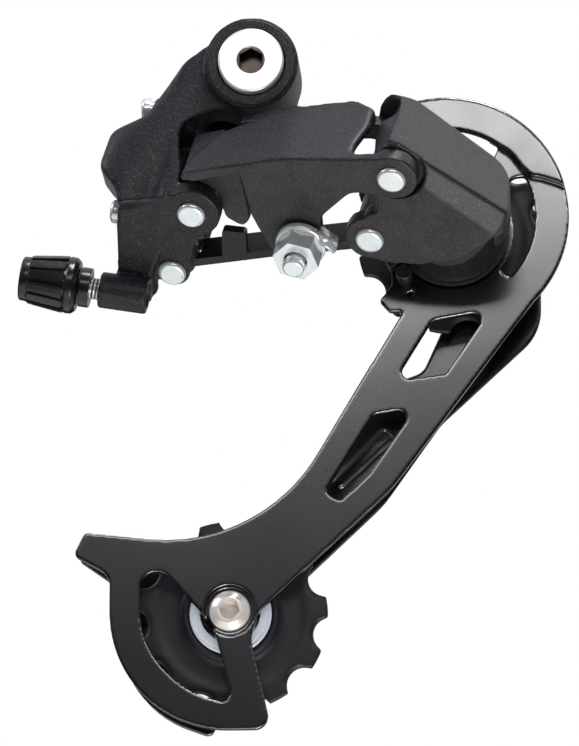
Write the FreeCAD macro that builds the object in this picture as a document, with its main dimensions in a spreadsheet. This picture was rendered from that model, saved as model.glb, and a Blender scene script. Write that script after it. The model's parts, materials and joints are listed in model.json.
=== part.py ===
"""Rear bicycle derailleur, long cage, slant parallelogram, held by one hanger bolt.

Axes: +X forward, +Y inboard (towards the wheel), +Z up.  The origin is on the hanger bolt's
axis, in the face that lies against the frame's hanger.  Millimetres.

Three working frames are used:
  FACE  x = X, y = Z, z = -Y   plates and outlines seen from the outboard side
  AXLE  z = +Y                 pieces turned about an axis that runs straight inboard
  PINS  z along the four slanted link pins, origin at the head of the outboard pin of the
        upper knuckle; x runs forward, y inboard and down
"""
import FreeCAD, Part
import math
import os
import Sketcher

V = FreeCAD.Vector
doc = FreeCAD.newDocument("RearDerailleur")

# ---------------------------------------------------------------- driving sizes
SIZES = [
    # fits
    ("running_gap", 0.05, "radial clearance of a shaft in its bore"),
    ("free_gap", 0.3, "space between pieces that pass each other"),
    # hanger bolt and barrel of the upper knuckle
    ("barrel_r", 10.3, "barrel of the upper knuckle, outer radius"),
    ("barrel_len", 20.0, "barrel length, outboard end to hanger side"),
    ("bolt_head_r", 7.2, "hanger bolt head radius"),
    ("bolt_head_len", 3.6, "hanger bolt head height"),
    ("bolt_proud", 2.3, "how far the head stands out of the barrel"),
    ("hanger_thread_r", 5.0, "M10 hanger thread, major radius"),
    ("hanger_thread_len", 9.0, "thread that enters the hanger"),
    ("hex_key", 5.0, "hanger bolt socket, across flats"),
    ("hex_deep", 5.0, "hanger bolt socket depth"),
    ("stop_plate_t", 1.6, "stop plate thickness"),
    ("b_spring_r", 7.2, "upper spring, mean coil radius"),
    ("b_wire_r", 0.8, "upper spring, wire radius"),
    # slanted pins
    ("slant", 36.0, "pin slant from vertical, degrees"),
    ("lean", 10.0, "pin lean forward, degrees"),
    ("pin_x", -13.4, "head of the upper outboard pin, X"),
    ("pin_y", -18.0, "head of the upper outboard pin, Y"),
    ("pin_z", -34.3, "head of the upper outboard pin, Z"),
    ("link_u", 45.04, "outboard link, forward run between pins"),
    ("link_v", -15.48, "outboard link, inboard run between pins"),
    ("pair_u", -5.75, "inboard pins from the outboard pins, forward"),
    ("pair_v", 18.9, "inboard pins from the outboard pins, inboard"),
    ("pin_r", 2.0, "link pin radius"),
    ("pin_tail", 2.1, "link pins stand out this far behind the rear lugs"),
    ("rivet_r", 3.15, "link pin head radius"),
    ("rivet_t", 1.2, "link pin head height"),
    ("step_b", 2.1, "upper inboard pin lies this much deeper"),
    ("step_p", 1.6, "lower inboard pin lies this much deeper"),
    ("lug_t", 3.8, "front lug thickness"),
    ("rear_w", 17.3, "start of the rear lugs along the pins"),
    ("rear_t", 3.2, "rear lug thickness"),
    ("eye_r", 4.4, "radius of the link eyes"),
    ("bush_t", 0.7, "wall of the link bushes"),
    # lower knuckle and cage pivot
    ("p_run_x", 12.1443, "cage pivot axis from the lower outboard pin, X"),
    ("p_run_z", -1.3715, "cage pivot axis from the lower outboard pin, Z"),
    ("cap_r", 13.3, "lower knuckle cap radius about the cage pivot"),
    ("cup_r", 11.7, "spring cup radius"),
    ("cup_wall", 1.2, "spring cup wall"),
    ("cup_flange_r", 12.6, "spring cup flange radius"),
    ("p_axle_r", 4.0, "cage axle radius"),
    ("p_spring_r", 8.2, "cage spring, mean coil radius"),
    ("p_wire_r", 0.9, "cage spring, wire radius"),
    # cage
    ("cage_run_x", -49.06, "tension pulley axis from the cage pivot, X"),
    ("cage_run_z", -84.4, "tension pulley axis from the cage pivot, Z"),
    ("pulley_y", 11.0, "middle plane of both pulleys"),
    ("plate_gap", 10.6, "space between the cage plates"),
    ("outer_t", 2.0, "outer cage plate thickness"),
    ("inner_t", 1.6, "inner cage plate thickness"),
    ("ring_x", -1.4, "ring of the outer plate from the pivot, X"),
    ("ring_z", 3.6, "ring of the outer plate from the pivot, Z"),
    ("ring_r", 27.2, "ring of the outer plate, outer radius"),
    ("ring_in_r", 19.7, "ring of the outer plate, inner radius"),
    ("hub_r", 13.8, "hub of the outer plate, radius"),
    ("ring_lift", 1.2, "upper ring stands this much further outboard"),
    ("dish", 1.3, "depth of the dish round each pulley bolt"),
    ("dish_r", 6.1, "radius of the dish"),
    ("foot_r", 26.4, "outer radius of the chain hook"),
    # pulleys
    ("teeth", 11, "teeth on each pulley"),
    ("tip_r", 21.2, "pulley tip radius"),
    ("pitch_r", 22.54, "radius on which the chain rollers sit"),
    ("gullet_r", 4.1, "radius of the tooth gullets"),
    ("tooth_t", 2.4, "pulley thickness at the teeth"),
    ("hub_t", 5.4, "pulley thickness at the raised ring"),
    ("hub_ring_r", 10.4, "raised ring of the pulley, outer radius"),
    ("cap_rim_r", 9.0, "dust cap radius"),
    ("cap_t", 0.6, "dust cap thickness"),
    ("sleeve_r", 4.0, "pulley sleeve, outer radius"),
    ("bolt_r", 2.5, "M5 pulley bolt radius"),
    ("bolt_cap_r", 4.5, "pulley bolt head radius"),
    ("bolt_cap_t", 2.0, "pulley bolt head height"),
    # cable adjuster
    ("adj_y", -0.5, "adjuster axis, Y"),
    ("adj_x", -23.6, "forward end of the adjuster boss, X"),
    ("adj_z", -47.6, "adjuster axis at that end, Z"),
    ("adj_dip", 9.2, "adjuster axis falls forward, degrees"),
    ("boss_r", 4.0, "adjuster boss radius"),
    ("boss_len", 11.0, "adjuster boss length"),
    ("adj_thread_r", 2.5, "M5 adjuster thread radius"),
    ("knob_len", 13.0, "adjuster knob length"),
    ("knob_big_r", 6.4, "adjuster knob, radius at its wide end"),
    ("knob_small_r", 4.9, "adjuster knob, radius at its narrow end"),
    ("housing_r", 2.55, "socket for a 5 mm cable housing, radius"),
    ("housing_deep", 7.0, "socket depth"),
    ("cable_r", 0.8, "hole for the inner cable, radius"),
    # screws and cable clamp
    ("limit_r", 1.9, "limit screw radius"),
    ("limit_len", 18.0, "limit screw length under the head"),
    ("limit_head_r", 2.6, "limit screw head radius"),
    ("limit_head_t", 2.0, "limit screw head height"),
    ("tension_len", 10.0, "tension screw length under the head"),
    ("clamp_u", 24.65, "cable clamp stud, forward of the outboard pin"),
    ("clamp_v", 3.9, "cable clamp stud, inboard of the outboard pin"),
    ("clamp_r", 2.5, "cable clamp stud radius"),
    ("nut_flats", 9.0, "clamp nut across flats"),
    ("nut_t", 5.0, "clamp nut height"),
]

sheet = doc.addObject("Spreadsheet::Sheet", "Sizes")
for row, (alias, size, meaning) in enumerate(SIZES, 1):
    sheet.set("A%d" % row, meaning)
    sheet.set("B%d" % row, str(size))
    sheet.setAlias("B%d" % row, alias)
doc.recompute()


class Named:
    """The sheet's values as plain numbers: n.pin_r and so on."""

    def __getattr__(self, alias):
        return float(sheet.get(alias))


n = Named()


def number(size):
    """A size is a number, or an expression on the sheet such as 'Sizes.pin_r + 1'."""
    if isinstance(size, str):
        found = sheet.evalExpression(size.replace("Sizes.", ""))
        return float(getattr(found, "Value", found))
    return float(size)


def bind(item, prop, size):
    """Give a property its size, kept live where it comes from the sheet."""
    if isinstance(size, str):
        item.setExpression(prop, size)
    setattr(item, prop, number(size))


# ---------------------------------------------------------------- working frames
def slanted_axes():
    slant, lean = math.radians(n.slant), math.radians(n.lean)
    ez = V(math.sin(lean), math.cos(lean) * math.sin(slant), math.cos(lean) * math.cos(slant))
    ex = V(math.cos(lean), -math.sin(lean) * math.sin(slant), -math.sin(lean) * math.cos(slant))
    return ex, ez.cross(ex), ez


def frame_from(origin, ex, ey, ez):
    matrix = FreeCAD.Matrix(ex.x, ey.x, ez.x, origin.x,
                            ex.y, ey.y, ez.y, origin.y,
                            ex.z, ey.z, ez.z, origin.z,
                            0, 0, 0, 1)
    return FreeCAD.Placement(matrix)


def shifted(frame, x=0.0, y=0.0, z=0.0):
    return frame * FreeCAD.Placement(V(x, y, z), FreeCAD.Rotation())


EX, EY, EZ = slanted_axes()
FACE = FreeCAD.Placement(V(0, 0, 0), FreeCAD.Rotation(V(1, 0, 0), 90))
AXLE = FreeCAD.Placement(V(0, 0, 0), FreeCAD.Rotation(V(1, 0, 0), -90))
PINS = frame_from(V(n.pin_x, n.pin_y, n.pin_z), EX, EY, EZ)
LOWER = shifted(PINS, n.link_u, n.link_v)              # head of the lower outboard pin
PIVOT = V(LOWER.Base.x + n.p_run_x, 0, LOWER.Base.z + n.p_run_z)
P_FACE = FreeCAD.Placement(PIVOT, FACE.Rotation)
P_AXLE = FreeCAD.Placement(PIVOT, AXLE.Rotation)
T_AXLE = FreeCAD.Placement(PIVOT + V(n.cage_run_x, 0, n.cage_run_z), AXLE.Rotation)


# ---------------------------------------------------------------- sketches
def corner_rounds(corners):
    """Tangent points of each rounded corner: (before, after, centre) or None where sharp."""
    spots = [V(number(x), number(y), 0) for x, y, _ in corners]
    rounds = []
    for i, (_, _, radius) in enumerate(corners):
        radius = number(radius)
        here, back, ahead = spots[i], spots[i - 1], spots[(i + 1) % len(spots)]
        to_back, to_ahead = (back - here).normalize(), (ahead - here).normalize()
        half = to_back.getAngle(to_ahead) / 2
        if radius <= 0 or half > math.radians(89.5):
            rounds.append(None)
            continue
        reach = radius / math.tan(half)
        middle = (to_back + to_ahead).normalize()
        rounds.append((here + to_back * reach, here + to_ahead * reach,
                       here + middle * (radius / math.sin(half)), radius))
    return spots, rounds


def outline(sketch, corners):
    """Closed outline of straight runs and tangent rounds, fully constrained.

    corners are (x, y, radius); each may be an expression on the sheet.
    """
    spots, rounds = corner_rounds(corners)
    count = len(corners)
    first = sketch.GeometryCount
    for i in range(count):
        start = rounds[i][1] if rounds[i] else spots[i]
        after = (i + 1) % count
        end = rounds[after][0] if rounds[after] else spots[after]
        sketch.addGeometry(Part.LineSegment(start, end), False)
    for i, (x, y, radius) in enumerate(corners):
        run_in, run_out = first + (i - 1) % count, first + i
        if not rounds[i]:
            sketch.addConstraint(Sketcher.Constraint("Coincident", run_in, 2, run_out, 1))
            pin_point(sketch, run_out, 1, x, y)
            continue
        before, after, centre, r = rounds[i]
        turn = (before - centre).cross(after - centre).z
        a, b = (before, after) if turn > 0 else (after, before)
        angle_a = math.atan2(a.y - centre.y, a.x - centre.x)
        angle_b = math.atan2(b.y - centre.y, b.x - centre.x)
        arc = sketch.addGeometry(
            Part.ArcOfCircle(Part.Circle(centre, V(0, 0, 1), r), angle_a, angle_b), False)
        at_before, at_after = (1, 2) if turn > 0 else (2, 1)
        sketch.addConstraint(Sketcher.Constraint("Tangent", run_in, 2, arc, at_before))
        sketch.addConstraint(Sketcher.Constraint("Tangent", run_out, 1, arc, at_after))
        held = sketch.addConstraint(Sketcher.Constraint("Radius", arc, r))
        if isinstance(radius, str):
            sketch.setExpression("Constraints[%d]" % held, radius)
        point = sketch.addGeometry(Part.Point(spots[i]), True)
        sketch.addConstraint(Sketcher.Constraint("PointOnObject", point, 1, run_in))
        sketch.addConstraint(Sketcher.Constraint("PointOnObject", point, 1, run_out))
        pin_point(sketch, point, 1, x, y)


def pin_point(sketch, geometry, end, x, y):
    for kind, size in (("DistanceX", x), ("DistanceY", y)):
        held = sketch.addConstraint(Sketcher.Constraint(kind, -1, 1, geometry, end, number(size)))
        if isinstance(size, str):
            sketch.setExpression("Constraints[%d]" % held, size)


def circle(sketch, x, y, radius):
    spot = V(number(x), number(y), 0)
    ring = sketch.addGeometry(Part.Circle(spot, V(0, 0, 1), number(radius)), False)
    pin_point(sketch, ring, 3, x, y)
    held = sketch.addConstraint(Sketcher.Constraint("Radius", ring, number(radius)))
    if isinstance(radius, str):
        sketch.setExpression("Constraints[%d]" % held, radius)


def hexagon(sketch, flats, turn=0.0):
    radius = number(flats) / math.sqrt(3)
    tips = [V(radius * math.cos(math.radians(turn + 60 * k)),
              radius * math.sin(math.radians(turn + 60 * k)), 0) for k in range(6)]
    first = sketch.GeometryCount
    for k in range(6):
        sketch.addGeometry(Part.LineSegment(tips[k], tips[(k + 1) % 6]), False)
    for k in range(6):
        sketch.addConstraint(Sketcher.Constraint("Coincident", first + k, 2,
                                                 first + (k + 1) % 6, 1))


# ---------------------------------------------------------------- solids outside bodies
def prism(name, frame, corners, start, end):
    """Outline in a frame's XY plane, drawn out along its Z from start to end."""
    sketch = doc.addObject("Sketcher::SketchObject", name + "_outline")
    sketch.Placement = frame
    outline(sketch, corners)
    solid = doc.addObject("Part::Extrusion", name)
    solid.Base = sketch
    solid.DirMode = "Normal"
    solid.Solid = True
    bind(solid, "LengthFwd", end)
    bind(solid, "LengthRev", negated(start))
    return solid


def negated(size):
    return "-(%s)" % size if isinstance(size, str) else -size


def disc(name, frame, radius, start, end, x=0.0, y=0.0):
    """Cylinder along a frame's Z from start to end."""
    solid = doc.addObject("Part::Cylinder", name)
    solid.Placement = shifted(frame, number(x), number(y), number(start))
    bind(solid, "Radius", radius)
    if isinstance(start, str) or isinstance(end, str):
        bind(solid, "Height", "%s - (%s)" % (end, start))
    else:
        solid.Height = end - start
    return solid


def fused(name, pieces):
    solid = doc.addObject("Part::MultiFuse", name)
    solid.Shapes = pieces
    return solid


def cut(name, base, tools):
    if len(tools) > 1:
        tools = [fused(name + "_cutters", tools)]
    solid = doc.addObject("Part::Cut", name)
    solid.Base = base
    solid.Tool = tools[0]
    return solid


def beyond(name, point, normal, size=220.0):
    """Block that fills the outer side of a plane, to cut a facet with."""
    turn = FreeCAD.Rotation(V(0, 0, 1), normal)
    block = doc.addObject("Part::Box", name)
    block.Length = block.Width = block.Height = size
    block.Placement = (FreeCAD.Placement(point, turn)
                       * FreeCAD.Placement(V(-size / 2, -size / 2, 0), FreeCAD.Rotation()))
    return block


# ---------------------------------------------------------------- bodies
NODES = []


def node(label, solid):
    """Register a finished sub-part under its own name."""
    solid.Label = label
    NODES.append((label, solid))
    return solid


def new_body(name, frame):
    body = doc.addObject("PartDesign::Body", name)
    body.Placement = frame
    return body


def plane_of(body, role):
    return next(f for f in body.Origin.OriginFeatures if f.Role == role)


def new_sketch(body, role="XY_Plane", offset=0.0):
    sketch = body.newObject("Sketcher::SketchObject", body.Name + "_sketch")
    sketch.AttachmentSupport = [(plane_of(body, role), "")]
    sketch.MapMode = "FlatFace"
    if isinstance(offset, str):
        sketch.setExpression("AttachmentOffset.Base.z", offset)
    sketch.AttachmentOffset = FreeCAD.Placement(V(0, 0, number(offset)), FreeCAD.Rotation())
    return sketch


def pad(body, sketch, length):
    feature = body.newObject("PartDesign::Pad", body.Name + "_pad")
    feature.Profile = sketch
    bind(feature, "Length", length)
    return feature


def pocket(body, sketch, length):
    """Cut along the sketch's +Z."""
    feature = body.newObject("PartDesign::Pocket", body.Name + "_pocket")
    feature.Profile = sketch
    feature.Reversed = True
    bind(feature, "Length", length)
    return feature


def turned(body, profile, groove=False):
    """Profile of (radius, height, rounding) corners, spun about the body's Z axis."""
    sketch = new_sketch(body, "XZ_Plane")
    outline(sketch, profile)
    kind = "PartDesign::Groove" if groove else "PartDesign::Revolution"
    feature = body.newObject(kind, body.Name + "_turned")
    feature.Profile = sketch
    feature.ReferenceAxis = (sketch, ["V_Axis"])
    feature.Angle = 360
    return feature


def tube(name, frame, outer, inner, start, end):
    """Plain bush or ring."""
    body = new_body(name, frame)
    turned(body, [(inner, start, 0), (outer, start, 0), (outer, end, 0), (inner, end, 0)])
    return body


def coil(name, frame, radius, wire, start, end, turns):
    """Closed wire coil about a frame's Z, swept along a helix."""
    pitch = (end - start) / turns
    path = doc.addObject("Part::Helix", name + "_path")
    path.Radius = radius
    path.Pitch = pitch
    path.Height = end - start
    section = doc.addObject("Part::Circle", name + "_wire")
    section.Radius = wire
    section.Placement = FreeCAD.Placement(V(radius, 0, 0), FreeCAD.Rotation(V(1, 0, 0), 90))
    solid = doc.addObject("Part::Sweep", name)
    solid.Sections = [section]
    solid.Spine = (path, ["Edge1"])
    solid.Solid = True
    solid.Frenet = True
    solid.Placement = shifted(frame, 0, 0, start)
    return solid


# ================================================================ hanger side
SHANK = "Sizes.hanger_thread_r - 0.6"      # plain part of the mounting bolt


def hanger_bolt():
    """Mounting bolt: broad head, shank through the barrel, M10 thread into the hanger."""
    body = new_body("mounting_bolt_body", AXLE)
    face = "-Sizes.barrel_len - Sizes.bolt_proud"
    under = face + " + Sizes.bolt_head_len"
    turned(body, [(0, face, 0), ("Sizes.bolt_head_r", face, 0.5), ("Sizes.bolt_head_r", under, 0),
                  (SHANK, under, 0), (SHANK, 0, 0), ("Sizes.hanger_thread_r", 0, 0),
                  ("Sizes.hanger_thread_r", "Sizes.hanger_thread_len", 0),
                  ("Sizes.hanger_thread_r - 0.9", "Sizes.hanger_thread_len + 0.9", 0),
                  (0, "Sizes.hanger_thread_len + 0.9", 0)])
    sketch = new_sketch(body, offset=face)
    circle(sketch, 0, 0, "Sizes.hex_key / 2 + 0.6")
    pocket(body, sketch, 0.8)
    sketch = new_sketch(body, offset=face)
    hexagon(sketch, n.hex_key, 30)
    pocket(body, sketch, "Sizes.hex_deep")
    node("mounting_bolt", body)


def stop_plate():
    """Plate held against the hanger; its bent tab takes the tension screw."""
    plate = prism("stop_plate_blank", FACE,
                  [(-13.0, -10.6, 1.5), (-6, -12.2, 5), (9.5, -9.8, 9.3), (9.5, 9.8, 9.3),
                   (-10.6, 10.4, 9.5), (-11.4, -2.5, 2), (-13.0, -2.5, 1)],
                  0, "Sizes.stop_plate_t")
    tab = prism("stop_plate_tab", FACE, [(-13.0, -9.0, 0), (-11.2, -9.0, 0), (-11.2, -3.0, 0),
                                         (-13.0, -3.0, 0)], 0, 6.2)
    hole = disc("stop_plate_hole", FACE, "Sizes.hanger_thread_r + Sizes.running_gap", -1, 8)
    node("stop_plate", cut("stop_plate_cut", fused("stop_plate_raw", [plate, tab]), [hole]))


BORE = "Sizes.hanger_thread_r + 1.5"       # barrel bore round the bush
SPRING_ROOM = "Sizes.b_spring_r + Sizes.b_wire_r + 0.6"


def hanger_small_parts():
    """Bush, retaining ring and spring inside the barrel."""
    body = tube("b_bush_body", AXLE, BORE + " - Sizes.running_gap",
                SHANK + " + Sizes.running_gap", "-Sizes.barrel_len + 1.8", -14.2)
    node("b_bush", body)
    ring = tube("b_ring_body", AXLE, "Sizes.hanger_thread_r + 2.2",
                SHANK + " + Sizes.running_gap", -2.9, -2.1)
    node("bolt_retaining_ring", ring)
    node("b_spring", coil("b_spring_coil", AXLE, n.b_spring_r, n.b_wire_r,
                          -12.8, -4.6, 4))


# ================================================================ upper knuckle
EYE_GAP = "Sizes.lug_t + Sizes.rivet_t + Sizes.free_gap"      # links start here along the pins
EYE_END = "Sizes.rear_w - Sizes.free_gap"
REAR_END = "Sizes.rear_w + Sizes.rear_t"


def upper_knuckle():
    """Cast knuckle: barrel, hood, pin housing with two lugs, cable arm."""
    barrel = disc("k_barrel", AXLE, "Sizes.barrel_r", "-Sizes.barrel_len", -n.stop_plate_t - n.free_gap)
    hood = prism("k_hood", FACE,
                 [(-7.2, 7.6, 0), (-15.2, 1.4, 0), (-23.4, -10.6, 3), (-31.0, -13.6, 4),
                  (-33.6, -22.5, 3), (-29.8, -27.8, 2), (-29.2, -31.8, 0.5), (-16.6, -30.1, 0.5),
                  (-15.4, -24.0, 4), (-16.2, -13.0, 5), (-8.6, -9.6, 5), (3.0, -9.6, 0),
                  (2.0, 0, 0)],
                 4.5, "Sizes.barrel_len + 3")
    slope = beyond("k_hood_slope", V(-17.0, -20.4, -30.3), V(0.044, -0.990, 0.137))
    hood_front = cut("k_hood_front", hood, [slope])
    housing = prism("k_housing", PINS,
                    [(-16.9, -0.3, 2), (-6.0, -4.0, 3), (0, -6.3, 0), (4.0, -4.0, 0),
                     (4.0, 5.0, 0), (0, 10, 0), ("Sizes.pair_u + 3.4", "Sizes.pair_v", 0),
                     ("Sizes.pair_u", "Sizes.pair_v + 3.8", 0), (-14.0, 20.0, 3),
                     (-17.3, 14.0, 3)],
                    "Sizes.rivet_t", REAR_END)
    top = prism("k_top", PINS,
                [(-17.3, 2.0, 0), (-14.0, -8.5, 3), (-6.5, -12.5, 3), (-2.2, -9.8, 1),
                 (0, 0, 0), (-3, 12, 0), (-15, 14, 2)],
                "Sizes.rear_w + 0.5", 30)
    lugs = [disc("k_outer_lug", PINS, 6.3, "Sizes.rivet_t", "Sizes.rivet_t + Sizes.lug_t"),
            disc("k_outer_rear", PINS, 6.0, "Sizes.rear_w", REAR_END),
            disc("k_inner_lug", PINS, 3.9, "Sizes.step_b + Sizes.rivet_t",
                 "Sizes.step_b + Sizes.rivet_t + Sizes.lug_t", "Sizes.pair_u", "Sizes.pair_v"),
            disc("k_inner_rear", PINS, 5.5, "Sizes.rear_w", REAR_END,
                 "Sizes.pair_u", "Sizes.pair_v")]
    arm = prism("k_arm", PINS,
                [(-16.9, -0.3, 2), (-4.0, -4.6, 2), (1.5, 3.0, 4), (-8.6, 10.5, 6),
                 (-9.6, 27.0, 2), (-20.0, 26.0, 1), (-17.6, 18.0, 2)],
                "Sizes.rivet_t", "Sizes.rivet_t + Sizes.lug_t + 1.5")
    boss = disc("k_boss", ADJ, "Sizes.boss_r", 0, "Sizes.boss_len")
    raw = fused("k_raw", [barrel, hood_front, housing, top, arm, boss] + lugs)

    links = prism("k_link_room", PINS,
                  [(-3.0, -20.0, 0), (12.0, -20.0, 0), (12.0, 40.0, 0), (-9.0, 40.0, 0),
                   (-9.0, 26.0, 0), ("Sizes.pair_u - 5.6", 24.0, 0),
                   ("Sizes.pair_u - 5.6", 10.0, 4), (-6.5, 6.0, 3), (-4.9, 0, 2), (-3.0, -7.5, 1)],
                  "Sizes.rivet_t + Sizes.lug_t", "Sizes.rear_w")
    step = prism("k_inner_step", PINS,
                 [(-10.8, 30.0, 0), (-9.8, 18.0, 6), (-7.0, 10.5, 6), (2.5, 5.6, 0), (12, 5.6, 0),
                  (12, 30.0, 0)],
                 -6, "Sizes.step_b + Sizes.rivet_t")
    bores = []
    for tag, u, v in (("o", 0.0, 0.0), ("i", "Sizes.pair_u", "Sizes.pair_v")):
        bores.append(disc("k_pin_bore_" + tag, PINS, "Sizes.pin_r + Sizes.running_gap", -1, 30, u, v))
    head_room = disc("k_head_room", AXLE, "Sizes.bolt_head_r + Sizes.free_gap",
                     -n.barrel_len - 6, -n.barrel_len - n.bolt_proud + n.bolt_head_len)
    bush_bore = disc("k_bush_bore", AXLE, BORE, -n.barrel_len - 1, 1)
    spring_bore = disc("k_spring_bore", AXLE, SPRING_ROOM, -13.8, 1)
    tab_room = prism("k_tab_room", FACE,
                     [(-20, -13, 0), (-15.5, -13, 0), (-11.5, -17, 0), (-4.0, -17, 0),
                      (-4.0, -10.8, 0), (-8.3, -7.7, 0), (-10.5, -4.4, 0), (-11, -2, 0),
                      (-11, 6, 0), (-20, 6, 0)],
                     -3, 6.8)
    solid = cut("k_cut", raw, [links, step, head_room, bush_bore, spring_bore, tab_room,
                               disc("k_cable_bore", ADJ, "Sizes.adj_thread_r + Sizes.running_gap",
                                    -4, n.boss_len + 2),
                               disc("k_high_bore", HIGH, "Sizes.limit_r + Sizes.running_gap",
                                    -8, 24),
                               disc("k_low_bore", LOW, "Sizes.limit_r + Sizes.running_gap",
                                    -8, 24),
                               disc("k_low_seat", LOW, "Sizes.limit_head_r + Sizes.free_gap",
                                    -8, 0),
                               disc("k_tension_bore", TENSION,
                                    "Sizes.limit_r + Sizes.running_gap", -8, 20),
                               disc("k_tension_seat", TENSION,
                                    "Sizes.limit_head_r + Sizes.free_gap", -8, 0)] + bores)
    node("b_knuckle", solid)


def axis_frame(origin, direction):
    turn = FreeCAD.Rotation(V(0, 0, 1), direction)
    return FreeCAD.Placement(origin, turn)


DIP = math.radians(n.adj_dip)
ADJ_OUT = V(-math.cos(DIP), 0, math.sin(DIP))          # from the boss towards the housing
ADJ = axis_frame(V(n.adj_x, n.adj_y, n.adj_z), ADJ_OUT)


def limit_frame(u, v, w):
    """Limit screw axis through a point of the pin frame, head at the rear, running forward."""
    return axis_frame(PINS.multVec(V(u, v, w)), EX)


HIGH = limit_frame(-18.7, 13.1, 15.0)
LOW = limit_frame(-17.9, 7.4, 8.2)
TENSION = axis_frame(V(-13.1 - n.tension_len, -4.0, -6.0), V(1, 0, 0))


def screws():
    for label, frame, length in (("high_limit_screw", HIGH, "Sizes.limit_len - 6.8"),
                                 ("low_limit_screw", LOW, "Sizes.limit_len + 0.7"),
                                 ("b_tension_screw", TENSION, "Sizes.tension_len")):
        body = new_body(label + "_body", frame)
        turned(body, [(0, "-Sizes.limit_head_t", 0), ("Sizes.limit_head_r", "-Sizes.limit_head_t", 0.8),
                      ("Sizes.limit_head_r", 0, 0), ("Sizes.limit_r", 0, 0),
                      ("Sizes.limit_r", length + " - 0.6", 0), ("Sizes.limit_r - 0.6", length, 0),
                      (0, length, 0)])
        for turn in (0, 90):
            slot = new_sketch(body, offset="-Sizes.limit_head_t")
            half = [(-1.7, -0.35, 0), (1.7, -0.35, 0), (1.7, 0.35, 0), (-1.7, 0.35, 0)]
            if turn:
                half = [(y, x, r) for x, y, r in reversed(half)]
            outline(slot, half)
            pocket(body, slot, 1.1)
        node(label, body)


def adjuster():
    """Cable adjuster: threaded tube, knob with a housing socket, detent spring."""
    body = new_body("adjuster_screw_body", ADJ)
    turned(body, [("Sizes.cable_r", 3.6, 0), ("Sizes.adj_thread_r", 3.6, 0),
                  ("Sizes.adj_thread_r", "Sizes.boss_len + 4.2", 0),
                  ("Sizes.adj_thread_r - 0.6", "Sizes.boss_len + 4.2", 0),
                  ("Sizes.adj_thread_r - 0.6", "Sizes.boss_len + 9", 0),
                  ("Sizes.cable_r", "Sizes.boss_len + 9", 0)])
    node("adjuster_screw", body)
    neck = "Sizes.boss_len + 2.0"
    knob_at = "Sizes.boss_len + 4.6"
    tip = knob_at + " + Sizes.knob_len"
    body = new_body("adjuster_knob_body", ADJ)
    turned(body, [("Sizes.adj_thread_r - 0.6 + Sizes.running_gap", knob_at, 0), (4.4, knob_at, 0),
                  (4.4, knob_at + " + 0.3", 0), ("Sizes.knob_big_r", knob_at + " + 0.6", 0.8),
                  ("Sizes.knob_big_r - 0.2", knob_at + " + 3.0", 0),
                  ("Sizes.knob_small_r", tip, 0.7), ("Sizes.housing_r", tip, 0),
                  ("Sizes.housing_r", tip + " - Sizes.housing_deep", 0),
                  ("Sizes.adj_thread_r - 0.6 + Sizes.running_gap", tip + " - Sizes.housing_deep", 0)])
    node("adjuster_knob", body)
    body = tube("adjuster_collar_body", ADJ, 4.4, "Sizes.adj_thread_r + Sizes.running_gap",
                neck, "Sizes.boss_len + 4.3")
    node("adjuster_collar", body)


def pin(label, frame, placements):
    """Headed link pins with a peened tail; several alike share a node."""
    pieces = []
    for k, (u, v, w, length) in enumerate(placements):
        body = new_body("%s_%d" % (label, k), shifted(frame, number(u), number(v), number(w)))
        end = "Sizes.rivet_t + %s" % length
        turned(body, [(0, 0, 0), ("Sizes.rivet_r", 0, 0.9), ("Sizes.rivet_r", "Sizes.rivet_t", 0),
                      ("Sizes.pin_r", "Sizes.rivet_t", 0), ("Sizes.pin_r", end, 0),
                      ("Sizes.pin_r - 0.5", end + " + 0.5", 0), (0, end + " + 0.5", 0)])
        pieces.append(body)
    if len(pieces) == 1:
        node(label, pieces[0])
        return
    group = doc.addObject("Part::Compound", label + "_pair")
    group.Links = pieces
    node(label, group)


def link_pins():
    length = "Sizes.rear_w + Sizes.rear_t + Sizes.pin_tail - Sizes.rivet_t"
    pin("b_link_pins", PINS, [(0, 0, 0, length),
                              ("Sizes.pair_u", "Sizes.pair_v", "Sizes.step_b",
                               length + " - Sizes.step_b")])
    pin("p_outer_pin", PINS, [("Sizes.link_u", "Sizes.link_v", 0, length)])
    pin("p_inner_pin", PINS, [(R4_U, R4_V, "Sizes.step_p", length + " - Sizes.step_p")])


R4_U = "Sizes.link_u + Sizes.pair_u"
R4_V = "Sizes.link_v + Sizes.pair_v"


REAR_LUG = 3.6                              # rear lug of the outboard link at its lower pin


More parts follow.
